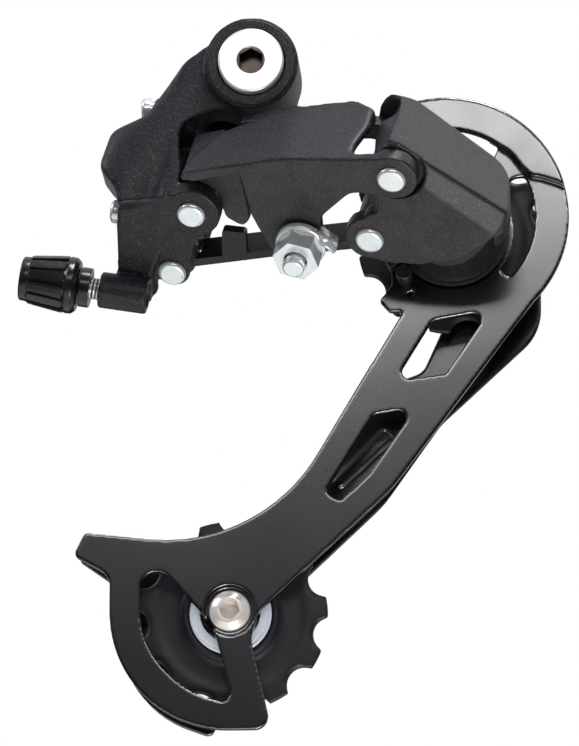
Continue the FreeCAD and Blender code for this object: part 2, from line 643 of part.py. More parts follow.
# ================================================================ parallelogram links
def outer_link():
    """Cast channel: web on the outboard side, front and rear flanges, clamp lobe, stop finger."""
    front = "Sizes.rivet_t"
    web = prism("o_web", PINS,
                [(-2.4, -9.2, 0.8), (-1.4, -11.5, 1.5), (20.0, -17.9, 25),
                 ("Sizes.link_u - 6.44", "Sizes.link_v - 4.42", 1.2),
                 ("Sizes.link_u - 7.04", "Sizes.link_v - 2.02", 0.5), (20.0, -15.4, 25),
                 (0.8, -9.2, 1.5)],
                front, REAR_END + " + 2.1")
    flange = prism("o_front", PINS,
                   [(10.6, -14.0, 0), (13.2, -1.0, 6),
                    ("Sizes.clamp_u - 7.25", "Sizes.clamp_v + 4.9", 3),
                    ("Sizes.clamp_u + 4.15", "Sizes.clamp_v + 4.7", 4),
                    ("Sizes.clamp_u + 4.35", "Sizes.clamp_v - 6.3", 2),
                    ("Sizes.link_u - 9.24", "Sizes.link_v + 5.28", 4),
                    ("Sizes.link_u", "Sizes.link_v + 5.38", 0),
                    ("Sizes.link_u", "Sizes.link_v - 5.42", 0),
                    ("Sizes.link_u - 6.44", "Sizes.link_v - 4.42", 0), (20.0, -17.7, 0)],
                   front, "Sizes.rivet_t + 2.6")
    rear = prism("o_rear", PINS,
                 [(8.0, -13.6, 0), (20.0, -17.7, 0),
                  ("Sizes.link_u - 8.9", "Sizes.link_v - 1.9", 0),
                  ("Sizes.link_u - 5.4", "Sizes.link_v - 1.2", 0),
                  ("Sizes.link_u - 3.3", "Sizes.link_v - 1.5", 0),
                  ("Sizes.link_u", "Sizes.link_v", 0),
                  ("Sizes.link_u - 2.4", "Sizes.link_v + 2.7", 0),
                  ("Sizes.link_u - 9.04", "Sizes.link_v + 3.0", 4),
                  (22.0, -9.0, 8), (12.0, -8.0, 3)],
                 "Sizes.rear_w", REAR_END)
    eye = disc("o_eye", PINS, "Sizes.eye_r", EYE_GAP, EYE_END)
    neck = prism("o_neck", PINS, [(-2.0, -9.6, 0), (5.0, -12.2, 0), (4.2, 0, 0), (-4.2, 0, 0)],
                 EYE_GAP, EYE_END)
    finger = prism("o_finger", PINS,
                   [(3.4, -11.4, 0), (5.6, 0, 1), (6.6, 3.6, 1.2), (10.6, 6.4, 1.5),
                    (12.2, 3.0, 1.5), (11.6, -3.0, 3), (10.2, -13.6, 0)],
                   EYE_GAP, "Sizes.rivet_t + Sizes.lug_t + 3.8")
    lugs = [disc("o_lug_front", PINS, 5.6, front, "Sizes.rivet_t + Sizes.lug_t",
                 "Sizes.link_u", "Sizes.link_v"),
            disc("o_lug_rear", PINS, REAR_LUG, "Sizes.rear_w", REAR_END,
                 "Sizes.link_u", "Sizes.link_v")]
    web_edge = prism("o_web_edge", frame_from(PINS.Base, EX, EZ, -EY),
                     [(-6.0, -2.0, 0), (-3.3, -2.0, 0), (-1.2, 4.2, 6), (2.6, 11.4, 3),
                      (5.0, "Sizes.rear_w - 2.9", 4), (12.4, "Sizes.rear_w - 0.1", 10),
                      (20.0, "Sizes.rear_w + 2.0", 0), (27.0, REAR_END + " + 0.6", 0),
                      ("Sizes.link_u - 11.5", REAR_END + " + 1.6", 3),
                      ("Sizes.link_u - 9.4", REAR_END, 1),
                      ("Sizes.link_u - 6.2", "Sizes.rear_w + 1.5", 3),
                      ("Sizes.link_u - 6.2", "Sizes.rear_w - 0.7", 3),
                      ("Sizes.link_u - 9.1", "Sizes.rear_w - 11.3", 8),
                      ("Sizes.link_u - 7.6", -2.0, 0), ("Sizes.link_u - 4", -2.0, 0),
                      ("Sizes.link_u - 4", 30.0, 0), (-6.0, 30.0, 0)],
                     9.0, 22.0)
    shaped = cut("o_web_shaped", web, [web_edge])
    raw = fused("o_raw", [shaped, flange, rear, eye, neck, finger] + lugs)
    bore = "Sizes.pin_r + Sizes.bush_t + Sizes.running_gap"
    cutters = [disc("o_bore_b", PINS, bore, EYE_GAP + " - 1", EYE_END + " + 1"),
               disc("o_bore_p", PINS, "Sizes.pin_r + Sizes.running_gap", 0, 25,
                    "Sizes.link_u", "Sizes.link_v"),
               disc("o_stud_bore", PINS, "Sizes.clamp_r + Sizes.running_gap", -1, 8,
                    "Sizes.clamp_u", "Sizes.clamp_v")]
    node("outer_link", cut("o_cut", raw, cutters))


INNER_START = "Sizes.step_b + Sizes.rivet_t + Sizes.lug_t + Sizes.free_gap"
SPRING_END = "Sizes.rear_w - 4.2"          # rear wall of the return spring's room


def inner_link():
    """Inboard link: two eyes joined by a bar set inboard of the pin line, stop nose."""
    run = math.hypot(n.link_u, n.link_v)
    along = V(n.link_u / run, n.link_v / run, 0)
    across = V(-along.y, along.x, 0)

    def spot(distance, offset, rounding=0.0):
        at = V(n.pair_u, n.pair_v, 0) + along * distance + across * offset
        return (at.x, at.y, rounding)

    bar = prism("i_bar", PINS,
                [spot(0, 0.4), spot(run / 2, 1.8, 60), spot(run - 8, 3.0, 8), spot(run, 0),
                 spot(run, 3.6), spot(run - 7, 5.2, 6), spot(run / 2, 3.7, 60), spot(0, 2.4)],
                INNER_START, "Sizes.rear_w - 2.7")
    nose = prism("i_nose", PINS, [(-6.6, 10.6, 0.6), (-3.0, 10.6, 1.2), (-2.0, 18.0, 0),
                                  (-9.4, 18.0, 0), (-6.6, 14.8, 0)], SPRING_END, EYE_END)
    tab = prism("i_tab", PINS, [(5.0, 9.1, 0.8), (10.3, 9.2, 0.8), (10.2, 17.0, 0), (4.8, 17.0, 0)],
                INNER_START, INNER_START + " + 2.2")
    eyes = [disc("i_eye_b", PINS, "Sizes.eye_r", INNER_START, EYE_END,
                 "Sizes.pair_u", "Sizes.pair_v"),
            disc("i_eye_p", PINS, "Sizes.eye_r - 0.4", INNER_START, EYE_END, R4_U, R4_V)]
    raw = fused("i_raw", [bar, nose, tab] + eyes)
    bush = "Sizes.pin_r + Sizes.bush_t + Sizes.running_gap"
    past = EYE_END + " + 1"
    cutters = [disc("i_bore_b", PINS, bush, 5, past, "Sizes.pair_u", "Sizes.pair_v"),
               disc("i_bore_p", PINS, bush, 5, past, R4_U, R4_V),
               disc("i_spring_room", PINS, 5.1, SPRING_END + " - 3.2", SPRING_END,
                    "Sizes.pair_u", "Sizes.pair_v")]
    node("inner_link", cut("i_cut", raw, cutters))


def link_small_parts():
    """Bushes of the link eyes and the parallelogram's return spring."""
    inside = "Sizes.pin_r + Sizes.running_gap"
    outside = "Sizes.pin_r + Sizes.bush_t"
    open_inside = "Sizes.pin_r + 0.25"
    body = tube("o_bush_body", PINS, outside, inside, EYE_GAP, EYE_END)
    node("outer_link_bush", body)
    pair = []
    for k, (u, v, hole) in enumerate(((n.pair_u, n.pair_v, inside),
                                      (n.link_u + n.pair_u, n.link_v + n.pair_v, open_inside))):
        pair.append(tube("i_bush_%d" % k, shifted(PINS, u, v, 0), outside, hole,
                         INNER_START, EYE_END))
    group = doc.addObject("Part::Compound", "i_bushes")
    group.Links = pair
    node("inner_link_bushes", group)
    at_p = shifted(PINS, n.link_u, n.link_v, 0)
    node("p_knuckle_link_bush", tube("p_link_bush", at_p, outside, inside, EYE_GAP, EYE_END))
    rear = number(SPRING_END) - 0.8
    node("return_spring", coil("return_coil", shifted(PINS, n.pair_u, n.pair_v, 0),
                               3.9, 0.55, rear - 1.6, rear, 1.3))


def cable_clamp():
    """Stud through the front flange, shaped washer and nut that pinch the cable."""
    at = shifted(PINS, n.clamp_u, n.clamp_v, 0)
    body = new_body("clamp_stud_body", at)
    seat = "Sizes.rivet_t + 2.6"
    turned(body, [(0, -9.4, 0), ("Sizes.clamp_r - 0.5", -9.4, 0), ("Sizes.clamp_r", -8.9, 0),
                  ("Sizes.clamp_r", seat, 0), (3.3, seat, 0), (3.3, seat + " + 1.6", 0.4),
                  (0, seat + " + 1.6", 0)])
    node("clamp_stud", body)
    hole = "Sizes.clamp_r + Sizes.running_gap"
    plate = prism("clamp_washer_plate", at, [(-5.2, -4.8, 3.5), (5.6, -5.8, 1.5), (8.2, -3.0, 1.5),
                                             (6.6, 4.0, 3), (-4.6, 5.2, 3.5)], -1.6, -0.05)
    tab = prism("clamp_washer_tab", at, [(6.0, -5.2, 0.5), (8.0, -2.8, 0.5), (7.0, -1.6, 0.4),
                                         (5.0, -4.0, 0.4)], -4.2, -0.4)
    washer = fused("clamp_washer_raw", [plate, tab])
    node("clamp_washer", cut("clamp_washer_cut", washer,
                             [disc("clamp_washer_hole", at, hole, -6, 2)]))
    body = new_body("clamp_nut_body", at)
    start = "-1.65 - Sizes.nut_t"
    sketch = new_sketch(body, offset=start)
    hexagon(sketch, n.nut_flats, 12)
    pad(body, sketch, "Sizes.nut_t")
    turned(body, [(4.6, start + " - 1", 0), (7, start + " - 1", 0), (7, start + " + 1.2", 0)],
           groove=True)
    sketch = new_sketch(body, offset=start)
    circle(sketch, 0, 0, hole)
    pocket(body, sketch, "Sizes.nut_t")
    node("clamp_nut", body)


# ================================================================ lower knuckle
def pin_plane(w, outward=-1):
    """Block beyond the plane at w along the pins."""
    return PINS.multVec(V(50, 0, w)), EZ * outward


CAP_WALL = 1.6


def top_facet(depth):
    """The upper slope of the lower knuckle, at a depth under its surface."""
    normal = V(0.575, -0.663, 0.479)
    return LOWER.Base + V(5.444, -0.979, 5.528) - normal * depth, normal


def lower_knuckle():
    """Cast knuckle: faceted cap over the cage spring, boss and lugs for the lower pins."""
    start = "Sizes.step_p + Sizes.rivet_t"
    outline_of_cap = [(-15.6, 17.5, 2), (-14.2, 23.2, 3.5), (-7.0, 22.8, 5), (13.3, 9.1, 9),
                      ("Sizes.cap_r", "-Sizes.cap_r", 13.0), (-9.0, "-Sizes.cap_r", 6),
                      (-15.6, -6.0, 3)]
    cap = prism("p_cap", P_FACE, outline_of_cap, 12.5, 42)
    front_wall = prism("p_front", LOWER,
                       [(-7.54, 12.88, 3), (4.36, 7.48, 3), (6.96, -0.52, 5), (4.96, -9.52, 3),
                        (-1.04, -10.52, 2), (18.96, -6.52, 0), (21.96, 11.48, 0), (14.96, 21.98, 0),
                        (4.96, 26.28, 8), (-6.04, 24.48, 3)],
                       start, start + " + Sizes.lug_t")
    middle = prism("p_middle", LOWER,
                   [(0, -5.2, 0),
                    (0, 5.2, 0), (6.46, 7.48, 0), (14.96, 9.48, 0),
                    (16.96, -10.52, 0), (6.96, -10.52, 0)],
                   EYE_GAP, EYE_END)
    hood_block = prism("p_hood_block", LOWER,
                       [(-3.9, -1.32, 1), (-2.4, -7.2, 3), (2.96, -11.02, 4), (14.96, -4.52, 0),
                        (14.96, 13.48, 0), (-0.04, 7.98, 3)],
                       REAR_END + " + Sizes.free_gap", REAR_END + " + 3.5")
    hood_bound = prism("p_hood_bound", P_FACE,
                       [(-19.5, 8.0, 0), (-19.0, 19.9, 4), (-8.0, 20.3, 5), (13.3, 7.6, 9)]
                       + outline_of_cap[4:5] + [(-9, -13, 0)],
                       0, 42)
    hood = doc.addObject("Part::Common", "p_hood")
    hood.Base = hood_block
    hood.Tool = hood_bound
    rounds = [disc("p_boss", PINS, 5.3, EYE_GAP, EYE_END, "Sizes.link_u", "Sizes.link_v"),
              disc("p_lug", PINS, 5.6, start, start + " + Sizes.lug_t", R4_U, R4_V),
              disc("p_lug_rear", PINS, 5.4, "Sizes.rear_w", REAR_END, R4_U, R4_V)]
    rear_web = prism("p_rear_web", LOWER,
                     [(-6.04, 13.48, 0), (-5.74, 24.28, 0), (6.96, 24.48, 0), (10.96, 9.48, 0),
                      (0.96, 11.48, 0)],
                     "Sizes.rear_w", REAR_END)
    raw = fused("p_raw", [cap, front_wall, middle, hood, rear_web] + rounds)

    lower = beyond("p_facet_low", *pin_plane(number(start)))
    band = beyond("p_facet_band", LOWER.Base + V(6.044, 2.821, 0.128), V(0.09, -0.82, -0.565))
    upper = beyond("p_facet_top", *top_facet(0))
    link_lugs = [disc("p_lug_room_f", PINS, 6.7, -8, "Sizes.rivet_t + Sizes.lug_t + Sizes.free_gap",
                      "Sizes.link_u", "Sizes.link_v"),
                 disc("p_lug_room_r", PINS, "%g + Sizes.free_gap" % REAR_LUG,
                      "Sizes.rear_w - Sizes.free_gap", REAR_END + " + Sizes.free_gap",
                      "Sizes.link_u", "Sizes.link_v"),
                 prism("p_swing_room", LOWER,
                       [(0, 0, 0), (-4.5, 5.4, 0), (-7.5, 3.0, 0), (-8.5, -3.0, 0),
                        (-5.6, -5.4, 3), (-1.25, -5.4, 0)],
                       "Sizes.rear_w - Sizes.free_gap", REAR_END + " + Sizes.free_gap")]
    fan = prism("p_link_fan", LOWER,
                [(-1.04, -6.42, 0), (-5.44, -32.52, 0), (-40.04, -32.52, 0), (-40.04, 17.48, 0),
                 (-4.84, 5.88, 0), (-5.74, -2.02, 1)],
                -8, REAR_END + " + Sizes.free_gap")
    eye_room = disc("p_eye_room", PINS, "Sizes.eye_r + Sizes.free_gap",
                    start + " + Sizes.lug_t", "Sizes.rear_w", R4_U, R4_V)
    bar_room = prism("p_bar_room", LOWER,
                     [(-5.64, 10.08, 0), (-25.04, -14.52, 0), (-45.04, -14.52, 0), (-45.04, 45.48, 0),
                      (-15.04, 31.48, 0), (-2.54, 25.98, 0), (-1.44, 18.48, 3)],
                     start + " + Sizes.lug_t", "Sizes.rear_w")
    skirt_block = prism("p_skirt_block", P_FACE,
                        [(-10.0, -2.0, 0), (-3.0, -8.3, 3), (6.0, -8.8, 3), (12.0, -6.4, 0),
                         (22, -6.0, 0), (22, -22, 0), (-10.0, -22, 0)], 5, 45)
    skirt_half = beyond("p_skirt_half", *pin_plane(number(start) + 3.0, 1))
    skirt = doc.addObject("Part::Common", "p_skirt")
    skirt.Base = skirt_block
    skirt.Tool = skirt_half
    cup_room = cut("p_cup_room", disc("p_cup_bore", P_AXLE, "Sizes.cup_r + Sizes.running_gap",
                                      -24.4, 5),
                   [beyond("p_room_front", *pin_plane(number(start) + CAP_WALL)),
                    beyond("p_room_top", *top_facet(CAP_WALL))])
    rim_waste = prism("p_rim_waste", LOWER,
                      [(-0.14, 25.08, 0), (4.46, 25.18, 8), (11.46, 23.18, 8), (17.26, 19.48, 8),
                       (23.16, 13.58, 0), (44.96, 1.48, 0), (44.96, 45.48, 0), (-0.14, 45.48, 0)],
                      -8, number(start) + 3.1)
    pins = [disc("p_pin_bore_o", PINS, "Sizes.pin_r + Sizes.bush_t + Sizes.running_gap",
                 EYE_GAP + " - 0.1", EYE_END + " + 0.1", "Sizes.link_u", "Sizes.link_v"),
            disc("p_pin_tail_o", PINS, 2.9, "Sizes.rear_w", 30, "Sizes.link_u", "Sizes.link_v"),
            disc("p_pin_bore_i", PINS, "Sizes.pin_r + Sizes.running_gap", 0, 30, R4_U, R4_V)]
    solid = cut("p_cut", raw, [lower, band, upper, fan, eye_room, bar_room, skirt, cup_room,
                               rim_waste] + link_lugs + pins)
    node("p_knuckle", solid)


CUP_REAR = "Sizes.pulley_y - Sizes.plate_gap / 2 - Sizes.outer_t - Sizes.ring_lift - Sizes.free_gap"


def cage_pivot():
    """Spring cup, long bush, axle, retaining ring and spring round the cage pivot."""
    start = number("Sizes.step_p + Sizes.rivet_t") + CAP_WALL + 0.1
    wall = new_body("cup_body", P_AXLE)
    turned(wall, [("Sizes.cup_r - Sizes.cup_wall", -24.4, 0), ("Sizes.cup_r", -24.4, 0),
                  ("Sizes.cup_r", CUP_REAR + " - 1.5", 0),
                  ("Sizes.cup_flange_r", CUP_REAR + " - 1.3", 0),
                  ("Sizes.cup_flange_r", CUP_REAR, 0),
                  ("Sizes.cup_r - Sizes.cup_wall", CUP_REAR, 0)])
    lug_at = math.radians(209)
    out = V(math.cos(lug_at), math.sin(lug_at), 0)
    side = V(-out.y, out.x, 0)
    tips = [out * 11.2 - side * 1.6, out * 16.4 - side * 1.6, out * 16.4 + side * 1.6,
            out * 11.2 + side * 1.6]
    lug = prism("cup_lug", P_FACE, [(p.x, p.y, 0) for p in tips], negated(CUP_REAR), 2.6)
    raw = fused("cup_raw", [wall, lug])
    eye = disc("cup_eye_room", PINS, "Sizes.eye_r - 0.4 + Sizes.free_gap", 4, 24, R4_U, R4_V)
    boss = disc("cup_pin_room", PINS, "Sizes.pin_r + Sizes.free_gap", 0, 30, R4_U, R4_V)
    front = beyond("cup_front", *pin_plane(start))
    top = beyond("cup_top", *top_facet(CAP_WALL + 0.1))
    node("p_spring_cup", cut("cup_cut", raw, [front, top, eye, boss]))

    axle_hole = "Sizes.p_axle_r + Sizes.running_gap"
    body = new_body("p_bush_body", P_AXLE)
    end = CUP_REAR + " - 0.3"
    turned(body, [(axle_hole, -19.5, 0), ("Sizes.p_axle_r + 1.6", -19.5, 0),
                  ("Sizes.p_axle_r + 1.6", end + " - 2", 0),
                  ("Sizes.cup_r - Sizes.cup_wall - Sizes.running_gap", end + " - 2", 0),
                  ("Sizes.cup_r - Sizes.cup_wall - Sizes.running_gap", end, 0),
                  (axle_hole, end, 0)])
    node("p_bush", body)

    body = new_body("p_axle_body", P_AXLE)
    plate = "Sizes.pulley_y - Sizes.plate_gap / 2"
    seat = plate + " + Sizes.dish"
    turned(body, [("Sizes.bolt_r + Sizes.running_gap", -6, 0), (0, -6, 0), (0, -21.0, 0),
                  ("Sizes.p_axle_r", -21.0, 0), ("Sizes.p_axle_r", end + " + 0.1", 0),
                  (7.0, end + " + 0.1", 0), (7.0, plate + " - Sizes.outer_t", 0),
                  ("Sizes.p_axle_r - 0.4", plate + " - Sizes.outer_t", 0),
                  ("Sizes.p_axle_r - 0.4", plate, 0), ("Sizes.p_axle_r + 0.6", plate, 0),
                  ("Sizes.p_axle_r + 0.6", seat, 0),
                  ("Sizes.bolt_r + Sizes.running_gap", seat, 0)])
    node("p_axle", body)
    ring = tube("p_ring_body", P_AXLE, 6.2, axle_hole, -20.6, -19.8)
    node("p_retaining_ring", ring)
    node("p_spring", coil("p_coil", P_AXLE, n.p_spring_r, n.p_wire_r, -14.4, -2.0, 5))


# ================================================================ cage
OUTER_FACE = "Sizes.pulley_y - Sizes.plate_gap / 2 - Sizes.outer_t"
INNER_FACE = "Sizes.pulley_y + Sizes.plate_gap / 2"
TX, TZ = "Sizes.cage_run_x", "Sizes.cage_run_z"


def from_tension(points):
    """Corners given from the tension pulley's axis, moved to the cage pivot's frame."""
    return [("%s + %g" % (TX, x), "%s + %g" % (TZ, z), r) for x, z, r in points]


def layer(body, near, thick, corners, holes=()):
    """Pad between y = near and y = near + thick in a FACE frame."""
    sketch = new_sketch(body, offset="-(%s) - (%s)" % (near, thick))
    if corners:
        outline(sketch, corners)
    for x, y, radius in holes:
        circle(sketch, x, y, radius)
    return pad(body, sketch, thick)


def window(body, near, thick, corners=(), holes=()):
    """Pocket right through the layer at y = near."""
    sketch = new_sketch(body, offset="-(%s) - (%s) - 0.5" % (near, thick))
    if corners:
        outline(sketch, corners)
    for x, y, radius in holes:
        circle(sketch, x, y, radius)
    return pocket(body, sketch, "%s + 1" % thick)


HOOK = [(-26.3, 7.0, 2.0), (-27.6, 8.8, 1.0), (-34.4, 12.6, 1.5), (-31.9, 17.7, 1.2)]
INNER_HOOK = [(-26.2, 7.6, 2.0), (-27.4, 9.2, 1.0), (-34.2, 14.0, 1.2), (-31.9, 17.7, 1.2)]


def outer_plate():
    """Ring, spoke and hub round the pivot, long arm with two slots, chain hook at its foot."""
    body = new_body("outer_plate_body", P_FACE)
    thick = "Sizes.outer_t"
    arm = [(19.3, -13.7, 0), (-13.6, -57.6, 30)] + from_tension(
        [(5.9, -0.8, 3), (4.7, -6.5, 4), (9.2, -26.4, 3)]) \
        + [("%s - Sizes.foot_r" % TX, "%s - 26.5" % TZ, "Sizes.foot_r")] \
        + from_tension(HOOK) + [(-42.6, -71.0, 38), (-7.6, -11.9, 0), (0, 0, 0),
                                (9.0, -7.0, 0), (12.2, -10.4, 2), (15.6, -9.2, 0)]
    layer(body, OUTER_FACE, thick, arm)
    layer(body, OUTER_FACE, thick, (), [(0, 0, "Sizes.hub_r")])
    layer(body, OUTER_FACE, thick, (), [(-10.5, -10.1, 3.4)])
    ring = [("Sizes.ring_x", "Sizes.ring_z", "Sizes.ring_r"),
            ("Sizes.ring_x", "Sizes.ring_z", "Sizes.ring_in_r")]
    layer(body, OUTER_FACE, thick, (), ring)
    layer(body, OUTER_FACE, thick, [(5.5, 9.5, 0), (12.4, 9.9, 0), (13.0, 12.3, 1.6),
                                    (16.9, 12.8, 1.6), (18.2, 8.4, 0), (23.4, 8.4, 0),
                                    (20.5, 16.0, 0), (14.0, 21.6, 0), (9.3, 21.6, 0),
                                    (10.3, 19.4, 1.5), (8.8, 16.0, 3), (3.5, 11.0, 0)])
    trim = [(-13.5, 32, 0), (-40, 32, 0), (-40, -30, 0), (-17.85, -29.4, 0), (-10.9, -17.7, 0.4),
            (-13.9, -17.8, 0.8), (-16.2, -15.3, 0.8), (-13.4, -11.8, 1), (-13.4, -7.0, 1)]
    window(body, OUTER_FACE, thick, trim)
    lap = [(x + 1.0, z + 1.0, 0) for x, z, r in STEP[:-1]]
    window(body, OUTER_FACE, thick, [(-60, 11.4, 0), (4.0, 11.4, 0), (8.0, 21.0, 0)] + lap
           + [(60, 11.4, 0), (60, 60, 0), (-60, 60, 0)])
    raised = OUTER_FACE + " - Sizes.ring_lift"
    half_ring = new_sketch(body, offset="-(%s) - (%s)" % (raised, thick))
    raised_sector(half_ring)
    pad(body, half_ring, thick)
    layer(body, raised, thick, STEP + [(20.0, 16.6, 0), (13.0, 21.6, 0)])
    slots = ([(8.1, -17.6, 1.7), (-1.6, -31.9, 1.0), (-12.8, -33.4, 1.7), (-4.5, -19.8, 2.5)],
             [(-8.2, -39.35, 1.8), (-18.5, -54.4, 12), (-24.9, -60.3, 1.0), (-28.2, -58.2, 1.2),
              (-17.4, -40.8, 1.2)],
             from_tension([(-19.6, 14.66, 3.6), (-19.6, -7.62, 19), (-8.9, -18.32, 19),
                           (0.95, -20.9, 1.9), (-3.64, -3.29, 14)]))
    for corners in slots:
        window(body, OUTER_FACE, thick, corners)
    pulley_seat(body, OUTER_FACE, thick, 1)
    window(body, OUTER_FACE, thick, (), [(0, 0, "Sizes.p_axle_r - 0.35")])
    window(body, OUTER_FACE, thick, (), [(-10.5, -10.1, 1.85)])
    node("outer_cage_plate", body)


STEP = [(10.4, 19.8, 0), (13.4, 17.3, 2), (15.7, 14.1, 3), (17.4, 12.5, 2), (20.1, 12.0, 3),
        (24.4, 10.5, 0)]                    # the ring steps outboard beyond this line


def raised_sector(sketch):
    """Upper part of the ring, from the head of the step line round to an upright end."""
    cx, cz, ro, ri = n.ring_x, n.ring_z, n.ring_r, n.ring_in_r
    low, rear = 10.0 - cz, -13.0 - cx
    a0, a1 = math.asin(low / ro), math.pi - math.acos(-rear / ro)
    b0, b1 = math.asin((STEP[0][1] - cz) / ri), math.pi - math.acos(-rear / ri)
    middle = V(cx, cz, 0)
    outer = Part.ArcOfCircle(Part.Circle(middle, V(0, 0, 1), ro), a0, a1)
    inner = Part.ArcOfCircle(Part.Circle(middle, V(0, 0, 1), ri), b0, b1)
    o = sketch.addGeometry(outer, False)
    i = sketch.addGeometry(inner, False)
    r = sketch.addGeometry(Part.LineSegment(outer.EndPoint, inner.EndPoint), False)
    f = sketch.addGeometry(Part.LineSegment(inner.StartPoint, outer.StartPoint), False)
    for first, end, second, start in ((o, 2, r, 1), (r, 2, i, 2), (i, 1, f, 1), (f, 2, o, 1)):
        sketch.addConstraint(Sketcher.Constraint("Coincident", first, end, second, start))


def pulley_seat(body, near, thick, side):
    """Dish pressed towards the pulley round the tension bolt, with its hole."""
    if side > 0:
        layer(body, "%s + Sizes.outer_t" % near, "Sizes.dish", (), [(TX, TZ, "Sizes.dish_r + 0.6")])
        sketch = new_sketch(body, offset="-(%s) - Sizes.dish" % near)
        circle(sketch, TX, TZ, "Sizes.dish_r - 0.5")
        pocket(body, sketch, "Sizes.dish + 1")
    else:
        layer(body, "%s - Sizes.dish" % near, "Sizes.dish", (), [(TX, TZ, "Sizes.dish_r + 0.6"),])
        sketch = new_sketch(body, offset="-(%s) - (%s) - 1" % (near, thick))
        circle(sketch, TX, TZ, "Sizes.dish_r - 0.5")
        pocket(body, sketch, "Sizes.dish + 1")
    window(body, "%s - 3" % near, "%s + 6" % thick, (),
           [(TX, TZ, "Sizes.bolt_r + Sizes.running_gap")])


def inner_plate():
    """Plate on the wheel side: wing behind the guide pulley, open throat, arm, chain hook."""
    body = new_body("inner_plate_body", P_FACE)
    thick = "Sizes.inner_t"
    bend = "Sizes.foot_r - 3.4"
    foot = [("%s - Sizes.foot_r * 0.586" % TX, "%s - Sizes.foot_r * 0.8315" % TZ, bend),
            ("%s - Sizes.foot_r * 0.92" % TX, "%s - Sizes.foot_r * 0.429" % TZ, bend)]
    toe = from_tension([(4.8, -1.2, 3), (2.2, -9.0, 4), (-4.6, -25.9, 1.6)])
    heel = [(-43.0, -70.4, 36), (-20.8, -33.4, 3), (-7.0, -28.6, 4), (-1.8, -17.0, 4), (0, 0, 0)]
    arm = [(0, 8.4, 0), (4.5, 11.9, 3), (18.0, 11.9, 6), (19.3, -4.0, 8), (19.3, -19.8, 12),
           (-3.0, -40.5, 12), (-15.8, -58.6, 28)] + toe + foot + from_tension(INNER_HOOK) + heel
    layer(body, INNER_FACE, thick, arm)
    layer(body, INNER_FACE, thick, (), [(0, 0, 8.4)])
    window(body, INNER_FACE, thick,
           from_tension([(-15.0, 9.0, 2), (-17.9, 4.4, 3), (-17.9, -5.64, 17.5),
                         (-11.42, -14.89, 17.5), (-3.4, -17.8, 1.4), (-7.0, -4.8, 8)]))
    rib_near = "%s - 0.9" % INNER_FACE
    layer(body, rib_near, "0.9 + Sizes.inner_t / 2",
          [(-27.3, -53.4, 0.8), (-25.2, -54.6, 0.8), (-13.4, -43.6, 0.8), (-15.6, -41.6, 0.8)])
    pulley_seat(body, INNER_FACE, thick, -1)
    layer(body, "%s - Sizes.dish" % INNER_FACE, "Sizes.dish", (), [(0, 0, "Sizes.dish_r + 0.6")])
    sketch = new_sketch(body, offset="-(%s) - (%s) - 1" % (INNER_FACE, thick))
    circle(sketch, 0, 0, "Sizes.dish_r - 0.5")
    pocket(body, sketch, "Sizes.dish + 1")
    window(body, "%s - 3" % INNER_FACE, "%s + 6" % thick, (),
           [(0, 0, "Sizes.bolt_r + Sizes.running_gap")])
    node("inner_cage_plate", body)


